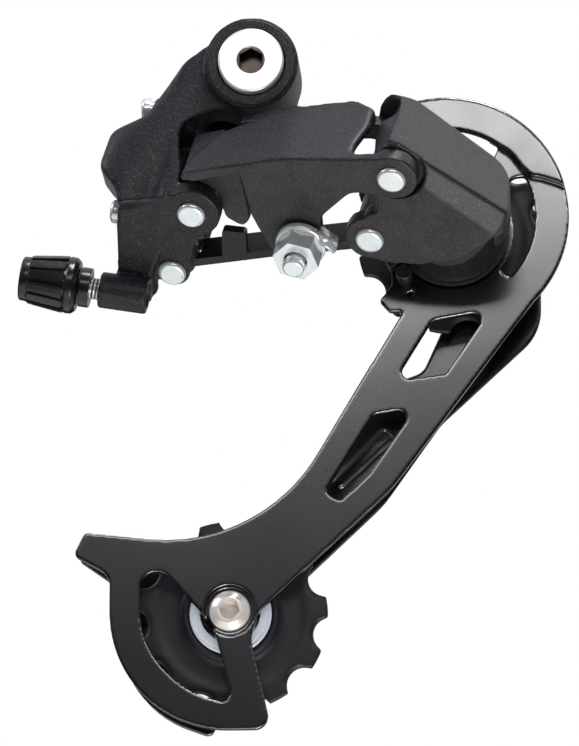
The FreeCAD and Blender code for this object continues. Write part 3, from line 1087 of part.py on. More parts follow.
def cage_small_parts():
    """Stop pin, pulley bolts, nut, sleeves and dust caps."""
    body = new_body("stop_pin_body", P_AXLE)
    body.Placement = shifted(P_AXLE, -10.5, 10.1, 0)
    turned(body, [(0, -2.2, 0), (1.8, -2.2, 0.4), (1.8, OUTER_FACE + " + Sizes.outer_t", 0),
                  (0, OUTER_FACE + " + Sizes.outer_t", 0)])
    node("cage_stop_pin", body)

    seat_out = OUTER_FACE + " + Sizes.dish"
    seat_in = "%s + Sizes.inner_t - Sizes.dish" % INNER_FACE
    body = new_body("tension_bolt_body", T_AXLE)
    turned(body, [(0, seat_out + " - Sizes.bolt_cap_t", 0),
                  (2.8, seat_out + " - Sizes.bolt_cap_t", 0),
                  ("Sizes.bolt_cap_r", seat_out + " - 0.7", 0.6), ("Sizes.bolt_cap_r", seat_out, 0),
                  ("Sizes.bolt_r", seat_out, 0), ("Sizes.bolt_r", seat_in + " + 2.6", 0),
                  (0, seat_in + " + 2.6", 0)])
    sketch = new_sketch(body, offset=seat_out + " - Sizes.bolt_cap_t")
    hexagon(sketch, 4.0, 10)
    pocket(body, sketch, 2.6)
    node("tension_bolt", body)
    node("tension_nut", tube("tension_nut_body", T_AXLE, 4.2,
                             "Sizes.bolt_r + Sizes.running_gap", seat_in, seat_in + " + 2.2"))

    body = new_body("guide_bolt_body", P_AXLE)
    turned(body, [(0, -4, 0), ("Sizes.bolt_r", -4, 0), ("Sizes.bolt_r", seat_in, 0),
                  ("Sizes.bolt_cap_r", seat_in, 0),
                  ("Sizes.bolt_cap_r", seat_in + " + 0.7", 0.6),
                  (2.8, seat_in + " + Sizes.bolt_cap_t", 0),
                  (0, seat_in + " + Sizes.bolt_cap_t", 0)])
    recess = body.newObject("Sketcher::SketchObject", "guide_bolt_socket")
    recess.AttachmentSupport = [(plane_of(body, "XY_Plane"), "")]
    recess.MapMode = "FlatFace"
    recess.setExpression("AttachmentOffset.Base.z", seat_in + " + Sizes.bolt_cap_t - 2.4")
    recess.AttachmentOffset = FreeCAD.Placement(
        V(0, 0, number(seat_in + " + Sizes.bolt_cap_t - 2.4")), FreeCAD.Rotation())
    hexagon(recess, 4.0, 10)
    pocket(body, recess, 2.6)
    node("guide_bolt", body)

    low = "Sizes.pulley_y - Sizes.plate_gap / 2 + Sizes.dish"
    high = "Sizes.pulley_y + Sizes.plate_gap / 2 - Sizes.dish"
    for name, frame in (("guide", P_AXLE), ("tension", T_AXLE)):
        node(name + "_sleeve", tube(name + "_sleeve_body", frame, "Sizes.sleeve_r",
                                    "Sizes.bolt_r + Sizes.running_gap",
                                    low + " + Sizes.cap_t", high + " - Sizes.cap_t"))
        caps = []
        for k, (face, way) in enumerate(((low, "+"), (high, "-"))):
            body = new_body("%s_cap_%d" % (name, k), frame)
            step = "%s %s Sizes.cap_t" % (face, way)
            turned(body, [("Sizes.bolt_r + Sizes.running_gap", face, 0), (5.0, face, 0),
                          ("Sizes.cap_rim_r", "%s %s 0.6" % (face, way), 0),
                          ("Sizes.cap_rim_r", "%s %s 1.2" % (face, way), 0),
                          (5.0, step, 0), ("Sizes.bolt_r + Sizes.running_gap", step, 0)])
            caps.append(body)
        group = doc.addObject("Part::Compound", name + "_caps")
        group.Links = caps
        node(name + "_dust_caps", group)


def pulley(label, frame, phase):
    """Toothed jockey wheel: bored hub, raised ring, thin web, rim with chain gullets."""
    turned_frame = shifted(frame, 0, 0, n.pulley_y)
    turned_frame = turned_frame * FreeCAD.Placement(V(0, 0, 0),
                                                    FreeCAD.Rotation(V(0, 0, 1), -phase))
    body = new_body(label + "_body", turned_frame)
    bore = "Sizes.sleeve_r + Sizes.running_gap"
    half = "Sizes.hub_t / 2"
    tooth = "Sizes.tooth_t / 2"
    side = [(bore, half + " - 0.4"), ("Sizes.cap_rim_r + 0.3", half + " - 0.4"),
            ("Sizes.cap_rim_r + 0.5", half), ("Sizes.hub_ring_r", half),
            ("Sizes.hub_ring_r + 0.5", "1.0"), (15.6, "0.8"), (16.6, tooth),
            ("Sizes.tip_r", tooth + " - 0.35")]
    profile = [(r, z, 0) for r, z in side] + [(r, "-(%s)" % z, 0) for r, z in reversed(side)]
    turned(body, profile)
    sketch = new_sketch(body, offset="-Sizes.hub_t")
    circle(sketch, "Sizes.pitch_r", 0, "Sizes.gullet_r")
    gullet = pocket(body, sketch, "Sizes.hub_t * 2")
    doc.recompute()
    pattern = body.newObject("PartDesign::PolarPattern", label + "_teeth")
    pattern.Originals = [gullet]
    pattern.Axis = (sketch, ["N_Axis"])
    pattern.Angle = 360
    pattern.setExpression("Occurrences", "Sizes.teeth")
    pattern.Occurrences = int(n.teeth)
    body.Tip = pattern
    node(label, body)


# ================================================================ build
hanger_bolt()
stop_plate()
hanger_small_parts()
upper_knuckle()
screws()
adjuster()
link_pins()
outer_link()
inner_link()
link_small_parts()
cable_clamp()
lower_knuckle()
cage_pivot()
outer_plate()
inner_plate()
cage_small_parts()
HALF_PITCH = 180.0 / n.teeth
pulley("guide_pulley", P_AXLE, -0.5 + HALF_PITCH)
pulley("tension_pulley", T_AXLE, 5.3 + HALF_PITCH)
doc.recompute()

failed = [item.Name for item in doc.Objects
          if "Invalid" in item.State or "Error" in item.State]
for label, solid in NODES:
    shape = solid.Shape
    if shape.isNull() or not shape.isValid() or not shape.Solids:
        failed.append(label)
if failed:
    raise SystemExit("failed: " + ", ".join(failed))

os.makedirs("parts", exist_ok=True)
for label, solid in NODES:
    solid.Shape.exportStep("parts/%s.step" % label)
    print("%-22s solids %d  volume %.1f" % (label, len(solid.Shape.Solids), solid.Shape.Volume))
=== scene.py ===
"""Rear derailleur: cast, pressed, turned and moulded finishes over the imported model.

The scene is in metres. The sizes and places of the part's pieces are given in millimetres and scaled by MM.
"""
import json
from math import cos, radians, sin, tau
import bmesh
import bpy
from mathutils import Matrix, Quaternion, Vector


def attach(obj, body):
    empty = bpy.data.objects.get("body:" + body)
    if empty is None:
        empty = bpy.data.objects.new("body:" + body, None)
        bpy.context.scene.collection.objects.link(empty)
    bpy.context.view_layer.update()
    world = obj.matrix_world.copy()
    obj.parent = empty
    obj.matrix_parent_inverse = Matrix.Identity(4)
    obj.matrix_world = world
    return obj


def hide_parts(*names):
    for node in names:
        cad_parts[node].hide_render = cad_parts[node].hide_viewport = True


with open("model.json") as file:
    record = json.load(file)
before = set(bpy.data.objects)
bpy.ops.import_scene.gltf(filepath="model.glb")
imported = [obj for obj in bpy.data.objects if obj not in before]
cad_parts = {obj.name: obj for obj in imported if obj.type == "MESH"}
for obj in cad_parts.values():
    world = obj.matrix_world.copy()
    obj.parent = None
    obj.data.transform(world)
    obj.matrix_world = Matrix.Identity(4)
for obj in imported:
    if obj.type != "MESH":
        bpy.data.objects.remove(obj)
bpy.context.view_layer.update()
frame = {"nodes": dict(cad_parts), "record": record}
MM = 0.001
MM_PER_METRE = 1000.0
BODY_OF = {node: body for body, members in frame["record"]["behaviour"]["bodies"].items() for node in members}
SLOT_OF = {entry["node"]: entry["material_slot"] for entry in frame["record"]["subparts"]}
JOINTS = {joint["name"]: joint for joint in frame["record"]["behaviour"]["joints"]}


def placed(name, data):
    """A new object in the scene, at the origin."""
    thing = bpy.data.objects.new(name, data)
    bpy.context.scene.collection.objects.link(thing)
    return thing


# ---------------------------------------------------------------- studio

LENS_MM = 332.25
SENSOR_MM = 36.0
AIM = Vector((0.007875, -0.010, -0.067507))       # about the middle of the part
STAND_OFF = 1.5                                   # from the aim to the lens
LENS_TURN = radians(3.0)                          # the lens is this far round to the right
LENS_DROP = radians(13.3)                         # and this far below level

LAMP_AIM = (0.01, 0.0, -0.06)
FLOOR_HALF = 6
FLOOR_HEIGHT = -0.75
GLOW_NEAR, GLOW_FAR = 0.9, 1.5                    # the floor's glow fades between these distances


def camera():
    lens = bpy.data.cameras.new("camera")
    lens.lens = LENS_MM
    lens.sensor_width = SENSOR_MM
    lens.clip_end = 20.0
    holder = placed("camera", lens)
    back = Vector((sin(LENS_TURN) * cos(LENS_DROP), -cos(LENS_TURN) * cos(LENS_DROP), -sin(LENS_DROP)))
    across = Vector((cos(LENS_TURN), sin(LENS_TURN), 0.0))
    up = back.cross(across).normalized()
    turn = Matrix((across, up, back)).transposed().to_4x4()
    holder.matrix_world = Matrix.Translation(AIM + back * STAND_OFF) @ turn
    bpy.context.scene.camera = holder


def softbox(name, place, target, width, height, power, colour=(1, 1, 1), roll=0.0):
    """A rectangular lamp that faces the target; roll turns it about its own beam, in degrees."""
    lamp = bpy.data.lights.new(name, "AREA")
    lamp.shape = "RECTANGLE"
    lamp.size = width
    lamp.size_y = height
    lamp.energy = power
    lamp.color = colour
    holder = placed(name, lamp)
    holder.location = place
    facing = (Vector(target) - Vector(place)).to_track_quat("-Z", "Y")
    holder.rotation_euler = (facing @ Quaternion((0, 0, 1), radians(roll))).to_euler()


def studio_lamps():
    """A cool key from above, a lamp on each side, a warm strip in front and a warm lamp from below."""
    softbox("key_box", (0.22, -0.40, 1.10), LAMP_AIM, 0.45, 0.40, power=12.0, colour=(0.97, 0.98, 1.0))
    softbox("left_box", (-0.95, -0.25, 0.70), LAMP_AIM, 0.5, 0.5, power=4.0, colour=(0.93, 0.96, 1.0))
    softbox("right_box", (0.85, 0.30, 1.00), LAMP_AIM, 0.7, 0.6, power=2.6)
    softbox("front_strip", (0.09, -0.62, 0.190), (0.02, 0.0, 0.0), 0.50, 0.115, power=0.80,
            colour=(1.0, 0.955, 0.91), roll=8.0)
    softbox("low_box", (0.14, -0.42, -0.62), (0.04, -0.03, -0.03), 0.25, 0.25, power=2.3,
            colour=(1.0, 0.96, 0.94))


def studio_world():
    """A white room to the eye; what the part reflects is grey below, dark in front and pale above."""
    world = bpy.data.worlds.new("studio")
    world.use_nodes = True
    bpy.context.scene.world = world
    tree = world.node_tree
    tree.nodes.clear()
    link = tree.links.new
    place = tree.nodes.new("ShaderNodeTexCoord")
    parts = tree.nodes.new("ShaderNodeSeparateXYZ")
    link(place.outputs["Generated"], parts.inputs[0])
    room = ramp(tree, parts.outputs["Z"], [(0.0, (0.20, 0.19, 0.185)), (0.5, (0.16, 0.16, 0.17)),
                                          (0.75, (0.34, 0.34, 0.36)), (1.0, (0.62, 0.62, 0.64))],
                low=-1.0, high=1.0)
    front = span(tree, parts.outputs["Y"], -0.25, -0.85)
    room = blend(tree, product(tree, front, 0.75), room, (0.020, 0.022, 0.027))
    behind = span(tree, parts.outputs["Y"], -0.05, 0.35)
    rays = tree.nodes.new("ShaderNodeLightPath")
    shiny = calc(tree, "MAXIMUM", rays.outputs["Is Glossy Ray"], rays.outputs["Is Transmission Ray"])
    seen = calc(tree, "MAXIMUM", rays.outputs["Is Camera Ray"], product(tree, shiny, behind, 0.35))
    colour = blend(tree, seen, room, (1.0, 1.0, 1.0))
    light = tree.nodes.new("ShaderNodeBackground")
    link(colour, light.inputs["Color"])
    out = tree.nodes.new("ShaderNodeOutputWorld")
    link(light.outputs[0], out.inputs["Surface"])


def studio_floor():
    """White paper that glows only for shiny surfaces, and only near the part."""
    mesh = bpy.data.meshes.new("floor")
    mesh.from_pydata([(x * FLOOR_HALF, y * FLOOR_HALF, FLOOR_HEIGHT)
                      for x, y in ((-1, -1), (1, -1), (1, 1), (-1, 1))], [], [(0, 1, 2, 3)])
    floor = placed("floor", mesh)
    paint, tree, sockets = finish_of("floor_paper")
    sockets["Base Color"].default_value = (0.86, 0.86, 0.86, 1)
    sockets["Roughness"].default_value = 0.9
    white = tree.nodes.new("ShaderNodeEmission")
    white.inputs["Color"].default_value = (0.97, 1.0, 0.98, 1)
    near = tree.nodes.new("ShaderNodeVectorMath")
    near.operation = "LENGTH"
    tree.links.new(tree.nodes.new("ShaderNodeTexCoord").outputs["Object"], near.inputs[0])
    fade = span(tree, near.outputs["Value"], GLOW_FAR, GLOW_NEAR)
    tree.links.new(product(tree, fade, 0.95), white.inputs["Strength"])
    rays = tree.nodes.new("ShaderNodeLightPath")
    either = tree.nodes.new("ShaderNodeMixShader")
    tree.links.new(rays.outputs["Is Glossy Ray"], either.inputs[0])
    tree.links.new(tree.nodes["Principled BSDF"].outputs[0], either.inputs[1])
    tree.links.new(white.outputs[0], either.inputs[2])
    tree.links.new(either.outputs[0], tree.nodes["Material Output"].inputs["Surface"])
    mesh.materials.append(paint)


# ---------------------------------------------------------------- node helpers

def give(tree, socket, value):
    """Links a socket or sets a plain value."""
    if isinstance(value, bpy.types.NodeSocket):
        tree.links.new(value, socket)
    elif isinstance(value, (tuple, list)) and socket.type == "RGBA":
        socket.default_value = (*value[:3], 1.0)
    else:
        socket.default_value = value


def calc(tree, operation, first, second=0.0, clamp=False):
    """One step of arithmetic on two sockets or numbers."""
    maths = tree.nodes.new("ShaderNodeMath")
    maths.operation = operation
    maths.use_clamp = clamp
    give(tree, maths.inputs[0], first)
    give(tree, maths.inputs[1], second)
    return maths.outputs[0]


def product(tree, first, *others):
    """All the values multiplied together, in turn."""
    for other in others:
        first = calc(tree, "MULTIPLY", first, other)
    return first


def span(tree, value, low, high, smooth=True):
    """0 at low, 1 at high."""
    node = tree.nodes.new("ShaderNodeMapRange")
    node.interpolation_type = "SMOOTHSTEP" if smooth else "LINEAR"
    give(tree, node.inputs["Value"], value)
    node.inputs["From Min"].default_value = low
    node.inputs["From Max"].default_value = high
    return node.outputs["Result"]


def ramp(tree, value, stops, low, high):
    """Colours by value: each stop is (share of the way from low to high, colour)."""
    value = span(tree, value, low, high, smooth=False)
    node = tree.nodes.new("ShaderNodeValToRGB")
    give(tree, node.inputs["Fac"], value)
    elements = node.color_ramp.elements
    while len(elements) < len(stops):
        elements.new(0.5)
    for element, (position, colour) in zip(elements, stops):
        element.position = position
        element.color = (*colour, 1.0)
    return node.outputs["Color"]


def blend(tree, mask, first, second):
    """The first colour where the mask is 0, the second where it is 1."""
    node = tree.nodes.new("ShaderNodeMix")
    node.data_type = "RGBA"
    give(tree, node.inputs[0], mask)
    # the colour sockets sit after the float and vector ones
    give(tree, node.inputs[6], first)
    give(tree, node.inputs[7], second)
    return node.outputs[2]


def group_tree(name, inputs, outputs):
    """An empty shader node group of plain numbers: inputs are (name, value), outputs are names."""
    tree = bpy.data.node_groups.new(name, "ShaderNodeTree")
    for title, value in inputs:
        socket = tree.interface.new_socket(name=title, in_out="INPUT", socket_type="NodeSocketFloat")
        socket.default_value = value
    for title in outputs:
        tree.interface.new_socket(name=title, in_out="OUTPUT", socket_type="NodeSocketFloat")
    return tree, tree.nodes.new("NodeGroupInput").outputs, tree.nodes.new("NodeGroupOutput").inputs


def use_group(tree, group, **values):
    """Puts a group in the tree; an underscore in a value's name stands for the space in the input's."""
    node = tree.nodes.new("ShaderNodeGroup")
    node.node_tree = group
    for title, value in values.items():
        give(tree, node.inputs[title.replace("_", " ")], value)
    return node.outputs


def object_place(tree):
    return tree.nodes.new("ShaderNodeTexCoord").outputs["Object"]


def upward(tree):
    """1 on faces that look up, -1 on faces that look down."""
    facing = tree.nodes.new("ShaderNodeSeparateXYZ")
    tree.links.new(tree.nodes.new("ShaderNodeTexCoord").outputs["Normal"], facing.inputs[0])
    return facing.outputs["Z"]


def noise(tree, scale, detail=2.0, roughness=0.5):
    node = tree.nodes.new("ShaderNodeTexNoise")
    give(tree, node.inputs["Scale"], scale)
    node.inputs["Detail"].default_value = detail
    node.inputs["Roughness"].default_value = roughness
    tree.links.new(object_place(tree), node.inputs["Vector"])
    return node.outputs["Fac"]


# ---------------------------------------------------------------- shared effects

def make_grain_group():
    """Grain of a sprayed or sand-cast skin: a height, and flecks of uneven strength, which the coat paints
    pale as a painted glint.
    """
    tree, given, gives = group_tree("coating_grain",
                                    [("Grain Size", 0.3), ("Fleck Size", 0.2), ("Fleck Share", 0.1)],
                                    ["Height", "Fleck", "Mottle"])
    per_metre = calc(tree, "DIVIDE", MM_PER_METRE, given["Grain Size"])
    fine = noise(tree, per_metre, 2.0, 0.65)
    coarse = noise(tree, product(tree, per_metre, 0.35), 2.0)
    height = calc(tree, "ADD", product(tree, fine, 0.75), product(tree, coarse, 0.5))
    give(tree, gives["Height"], height)
    cells = tree.nodes.new("ShaderNodeTexVoronoi")
    give(tree, cells.inputs["Scale"], calc(tree, "DIVIDE", MM_PER_METRE, given["Fleck Size"]))
    tree.links.new(object_place(tree), cells.inputs["Vector"])
    colour = tree.nodes.new("ShaderNodeSeparateColor")
    tree.links.new(cells.outputs["Color"], colour.inputs[0])
    chosen = calc(tree, "LESS_THAN", colour.outputs[0], given["Fleck Share"])
    strength = calc(tree, "POWER", colour.outputs[1], 3.0)
    near = span(tree, cells.outputs["Distance"], 0.6, 0.15)
    give(tree, gives["Fleck"], product(tree, chosen, strength, near))
    give(tree, gives["Mottle"], noise(tree, 180.0, 3.0))
    return tree


def make_edge_group():
    """Corner is 1 on a piece's outer corners, broken up as by handling, for wear and, on pressings, a painted
    highlight; the hollow mask is 1 on its inner ones, for painted shade.
    """
    tree, given, gives = group_tree("corner_wear_and_painted_light", [("Width", 0.4), ("Wear", 0.6)], ["Corner", "Hollow Shade"])
    rounded = tree.nodes.new("ShaderNodeBevel")
    rounded.samples = 6
    tree.links.new(product(tree, given["Width"], MM), rounded.inputs["Radius"])
    shape = tree.nodes.new("ShaderNodeNewGeometry")
    together = tree.nodes.new("ShaderNodeVectorMath")
    together.operation = "DOT_PRODUCT"
    tree.links.new(rounded.outputs[0], together.inputs[0])
    tree.links.new(shape.outputs["Normal"], together.inputs[1])
    turn = span(tree, together.outputs["Value"], 0.985, 0.86)
    outward = span(tree, shape.outputs["Pointiness"], 0.5, 0.53)
    inward = span(tree, shape.outputs["Pointiness"], 0.5, 0.47)
    patchy = noise(tree, 900.0, 4.0, 0.7)
    more_wear = calc(tree, "SUBTRACT", given["Wear"], 0.45)
    share = calc(tree, "ADD", product(tree, patchy, 0.9), more_wear, clamp=True)
    give(tree, gives["Corner"], product(tree, turn, outward, share))
    # inner corners: the mask for painted shade
    give(tree, gives["Hollow Shade"], product(tree, turn, inward))
    return tree


def make_smudge_group():
    """Faint handling marks and settled dust: a change of roughness and a light veil on faces that look up."""
    tree, given, gives = group_tree("handling", [("Mark Size", 6.0), ("Dust", 0.1)], ["Marks", "Veil"])
    marks = noise(tree, calc(tree, "DIVIDE", MM_PER_METRE, given["Mark Size"]), 5.0, 0.65)
    give(tree, gives["Marks"], calc(tree, "SUBTRACT", marks, 0.5))
    up = span(tree, upward(tree), 0.1, 1.0)
    specks = span(tree, noise(tree, 700.0, 4.0, 0.7), 0.45, 0.7)
    give(tree, gives["Veil"], product(tree, up, specks, given["Dust"]))
    return tree


GRAIN = make_grain_group()
EDGE = make_edge_group()
HANDLING = make_smudge_group()


# ---------------------------------------------------------------- finishes

def finish_of(name):
    """A new material, its node tree and the inputs of its surface shader."""
    paint = bpy.data.materials.new(name)
    paint.use_nodes = True
    return paint, paint.node_tree, paint.node_tree.nodes["Principled BSDF"].inputs


def bump(tree, height, depth, distance):
    """Raises the surface by the height; depth is 0 to 1 and distance is in millimetres."""
    node = tree.nodes.new("ShaderNodeBump")
    node.inputs["Strength"].default_value = depth
    node.inputs["Distance"].default_value = distance * MM
    tree.links.new(height, node.inputs["Height"])
    return node.outputs["Normal"]


def shaded(colour, share):
    """The colour made darker or paler by a share, never past white."""
    return tuple(min(1.0, c * share) for c in colour)


def dress(tree, sockets, base, rough, normal):
    """Links the three results of a finish to the surface shader."""
    tree.links.new(base, sockets["Base Color"])
    tree.links.new(rough, sockets["Roughness"])
    tree.links.new(normal, sockets["Normal"])


# pale colour on the coat's flecks: real specks, painted pale as a painted glint
FLECK_GLINT_COLOUR = (0.16, 0.16, 0.17)
RUBBED_COAT = (0.10, 0.10, 0.11)


def coated(name, colour, warm, roughness, grain, depth, fleck, fleck_size=0.3, wear=0.5, mirror=0.32):
    """Dark sprayed coat: grain, flecks with a painted glint, rubbed corners, and painted warm underlight on
    faces that look down.
    """
    paint, tree, sockets = finish_of(name)
    sockets["Specular IOR Level"].default_value = mirror
    grains = use_group(tree, GRAIN, Grain_Size=grain, Fleck_Size=fleck_size, Fleck_Share=fleck)
    edges = use_group(tree, EDGE, Width=0.35, Wear=wear)
    marks = use_group(tree, HANDLING, Mark_Size=7.0, Dust=0.05)
    # painted light: faces that look down take the warm colour, as if lit from below
    base = blend(tree, span(tree, upward(tree), 0.15, -0.55), colour, warm)
    mottled = product(tree, span(tree, grains["Mottle"], 0.35, 0.7), 0.5)
    base = blend(tree, mottled, base, shaded(colour, 0.75))
    # painted glint: the flecks are painted pale
    base = blend(tree, grains["Fleck"], base, FLECK_GLINT_COLOUR)
    base = blend(tree, marks["Veil"], base, (0.2, 0.2, 0.21))
    base = blend(tree, edges["Corner"], base, RUBBED_COAT)
    rough = calc(tree, "ADD", roughness, product(tree, marks["Marks"], 0.12))
    rough = calc(tree, "SUBTRACT", rough, product(tree, grains["Fleck"], 0.2), clamp=True)
    dress(tree, sockets, base, rough, bump(tree, grains["Height"], depth, grain * 0.35))
    return paint


# bright steel on pressed corners: partly wear, partly a painted highlight
WORN_EDGE_HIGHLIGHT = (0.62, 0.60, 0.57)


def pressed_coat(name, colour, roughness, wear):
    """Thin dark plating on pressed steel: satin metal, faintly cloudy, with rounded corners painted bright,
    for wear and as a painted highlight.
    """
    paint, tree, sockets = finish_of(name)
    sockets["Metallic"].default_value = 1.0
    marks = use_group(tree, HANDLING, Mark_Size=9.0, Dust=0.02)
    edges = use_group(tree, EDGE, Width=0.45, Wear=wear)
    grains = use_group(tree, GRAIN, Grain_Size=1.4, Fleck_Size=0.2, Fleck_Share=0.0)
    cloud = noise(tree, 55.0, 3.0, 0.55)
    base = blend(tree, span(tree, cloud, 0.35, 0.68), colour, shaded(colour, 0.86))
    # painted highlight and wear on the outer corners
    base = blend(tree, edges["Corner"], base, WORN_EDGE_HIGHLIGHT)
    rough = calc(tree, "ADD", roughness, product(tree, marks["Marks"], 0.06), clamp=True)
    dress(tree, sockets, base, rough, bump(tree, grains["Height"], 0.03, 0.02))
    return paint


def plated(name, colour, roughness, tint=None, depth=0.08, spread=0.08, metal=1.0):
    """Plated steel: slight cloudiness, a tint in patches, brighter rubbed corners and hollows darkened as
    painted shade.
    """
    paint, tree, sockets = finish_of(name)
    sockets["Metallic"].default_value = metal
    clouds = noise(tree, 260.0, 4.0, 0.6)
    marks = use_group(tree, HANDLING, Mark_Size=2.5, Dust=0.03)
    edges = use_group(tree, EDGE, Width=0.25, Wear=0.4)
    base = blend(tree, span(tree, clouds, 0.35, 0.7), colour, tint or shaded(colour, 0.8))
    base = blend(tree, edges["Corner"], base, shaded(colour, 1.2))
    # painted shade: inner corners darkened
    base = blend(tree, product(tree, edges["Hollow Shade"], 0.6), base, shaded(colour, 0.35))
    rough = calc(tree, "ADD", roughness, product(tree, marks["Marks"], spread * 2.0), clamp=True)
    grains = use_group(tree, GRAIN, Grain_Size=0.5, Fleck_Size=0.2, Fleck_Share=0.0)
    dress(tree, sockets, base, rough, bump(tree, grains["Height"], depth, 0.05))
    return paint


def moulded(name, colour, roughness, grain=0.25, depth=0.1, edge_colour=(0.12, 0.12, 0.13)):
    """Moulded plastic: fine tool texture, duller and glossier patches, paler corners."""
    paint, tree, sockets = finish_of(name)
    grains = use_group(tree, GRAIN, Grain_Size=grain, Fleck_Size=grain, Fleck_Share=0.0)
    marks = use_group(tree, HANDLING, Mark_Size=4.0, Dust=0.12)
    edges = use_group(tree, EDGE, Width=0.3, Wear=0.3)
    mottled = product(tree, span(tree, grains["Mottle"], 0.3, 0.75), 0.6)
    base = blend(tree, mottled, colour, shaded(colour, 0.6))
    base = blend(tree, marks["Veil"], base, (0.3, 0.3, 0.3))
    base = blend(tree, edges["Corner"], base, edge_colour)
    rough = calc(tree, "ADD", roughness, product(tree, marks["Marks"], 0.2), clamp=True)
    dress(tree, sockets, base, rough, bump(tree, grains["Height"], depth, 0.06))
    return paint


CAST_SKIN = {"grain": 0.22, "depth": 0.70, "fleck": 0.60, "fleck_size": 0.18, "wear": 0.15}

# by material slot
FINISHES = {
    # each coat's second colour is painted warm underlight for faces that look down
    "cast_black": coated("cast_coat", (0.012, 0.012, 0.017), (0.030, 0.026, 0.026), 0.38, **CAST_SKIN,
                         mirror=0.30),
    "plate_black": pressed_coat("plate_coat", (0.180, 0.186, 0.196), 0.185, wear=0.55),
    "black_steel": coated("steel_paint", (0.012, 0.012, 0.014), (0.016, 0.015, 0.015), 0.34,
                          grain=0.4, depth=0.12, fleck=0.1),
    "zinc_steel": plated("zinc_plate", (0.86, 0.90, 0.90), 0.22, (0.76, 0.82, 0.86), metal=0.62),
    "spring_steel": plated("spring_wire", (0.42, 0.42, 0.43), 0.34),
    "bare_steel": plated("turned_steel", (0.50, 0.50, 0.52), 0.3),
    "nickel": plated("nickel_plate", (0.92, 0.87, 0.82), 0.24, (0.86, 0.80, 0.75), metal=0.45),
    "brass": plated("bush_brass", (0.62, 0.46, 0.22), 0.35),
    "gloss_plastic": moulded("knob_plastic", (0.010, 0.010, 0.012), 0.20, grain=0.5, depth=0.06,
                             edge_colour=(0.05, 0.05, 0.055)),
    "matte_plastic": moulded("bush_plastic", (0.04, 0.04, 0.042), 0.5),
    "pulley_plastic": moulded("pulley_plastic", (0.014, 0.014, 0.019), 0.42, grain=0.35, depth=0.25),
}

# single pieces, or single faces, whose finish differs from their slot's
# its second colour, too, is painted underlight for faces that look down
KNUCKLE_COAT = coated("knuckle_coat", (0.0105, 0.0105, 0.0155), (0.014, 0.012, 0.015), 0.38, **CAST_SKIN,
                      mirror=0.27)
BOLT_FACE = plated("bolt_face", (0.88, 0.87, 0.88), 0.30, (0.84, 0.83, 0.85),
                   depth=0.03, spread=0.04, metal=0.7)
# the socket's inside is painted dark brown: painted shade in the recess
SOCKET_SHADE = plated("socket_shade", (0.11, 0.088, 0.08), 0.34, (0.085, 0.07, 0.064))
CAP_ZINC = plated("cap_zinc", (0.84, 0.92, 1.0), 0.34, (0.78, 0.87, 0.97),
                  depth=0.03, spread=0.05, metal=0.3)


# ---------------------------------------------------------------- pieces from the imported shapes

HIDDEN_INSIDE = {"b_bush", "b_spring", "p_spring", "p_bush", "guide_sleeve", "tension_sleeve"}
REPLACED = set()
WELD = 0.002                # corners nearer than this, in millimetres, are one corner
FLAT_WITHIN = 0.6           # faces within this many degrees are one face


def joined_copy(node, name):
    """The node's shape as one mesh with shared corners."""
    work = bmesh.new()
    work.from_mesh(frame["nodes"][node].data)
    bmesh.ops.remove_doubles(work, verts=work.verts, dist=WELD * MM)
    mesh = bpy.data.meshes.new(name)
    work.to_mesh(mesh)
    work.free()
    plain = bpy.data.meshes.new(name)
    plain.from_pydata([v.co.copy() for v in mesh.vertices], [], [tuple(p.vertices) for p in mesh.polygons])
    return placed(name, plain)


def settle(piece):
    """Turns the piece's live modifiers into its plain mesh."""
    view = bpy.context.evaluated_depsgraph_get()
    mesh = bpy.data.meshes.new_from_object(piece.evaluated_get(view))
    piece.modifiers.clear()
    piece.data = mesh
    return piece


def go_with(piece, node):
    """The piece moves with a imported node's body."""
    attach(piece, BODY_OF[node])


def paint_all(mesh, finish):
    """Gives the whole mesh this finish."""
    mesh.materials.clear()
    mesh.materials.append(finish)


def stand_for(piece, node, finish=None):
    """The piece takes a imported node's place, body and finish."""
    paint_all(piece.data, finish or FINISHES[SLOT_OF[node]])
    go_with(piece, node)
    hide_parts(node)
    REPLACED.add(node)


def softened(node, name, grid, passes, broad=None, broad_passes=0):
    """A cast, pressed or moulded piece: corners rounded all over, and more where the broad share says."""
    piece = joined_copy(node, name)
    mesh = piece.modifiers.new("even_skin", "REMESH")
    mesh.mode = "VOXEL"
    mesh.voxel_size = grid * MM
    relax = piece.modifiers.new("relax", "SMOOTH")
    relax.factor = 0.5
    relax.iterations = passes
    settle(piece)
    if broad is not None:
        share = piece.vertex_groups.new(name="broad")
        for vertex in piece.data.vertices:
            share.add([vertex.index], broad(vertex.co / MM), "REPLACE")
        swell = piece.modifiers.new("broad_corners", "SMOOTH")
        swell.factor = 0.5
        swell.iterations = broad_passes
        swell.vertex_group = "broad"
        settle(piece)
    piece.data.shade_smooth()
    return piece


def crisp(piece, width, steps, angle):
    """Flat faces kept flat, with a fine broken corner where faces meet at more than the angle, in degrees."""
    corner = piece.modifiers.new("broken_corner", "BEVEL")
    corner.width = width * MM
    corner.segments = steps
    corner.limit_method = "ANGLE"
    corner.angle_limit = radians(angle)
    even = piece.modifiers.new("even_normals", "WEIGHTED_NORMAL")
    even.keep_sharp = True
    return settle(piece)


def chamfered(node, width=0.18, steps=2):
    """A machined piece: crisp faces with a fine broken corner."""
    piece = joined_copy(node, node + "_finished")
    work = bmesh.new()
    work.from_mesh(piece.data)
    bmesh.ops.dissolve_limit(work, angle_limit=radians(FLAT_WITHIN), verts=work.verts, edges=work.edges,
                             delimit=set())
    work.to_mesh(piece.data)
    work.free()
    piece.data.shade_smooth()
    return crisp(piece, width, steps, angle=28)


# ---------------------------------------------------------------- working axes, in millimetres

def axis_of(joint):
    return Vector(JOINTS[joint]["axis"])


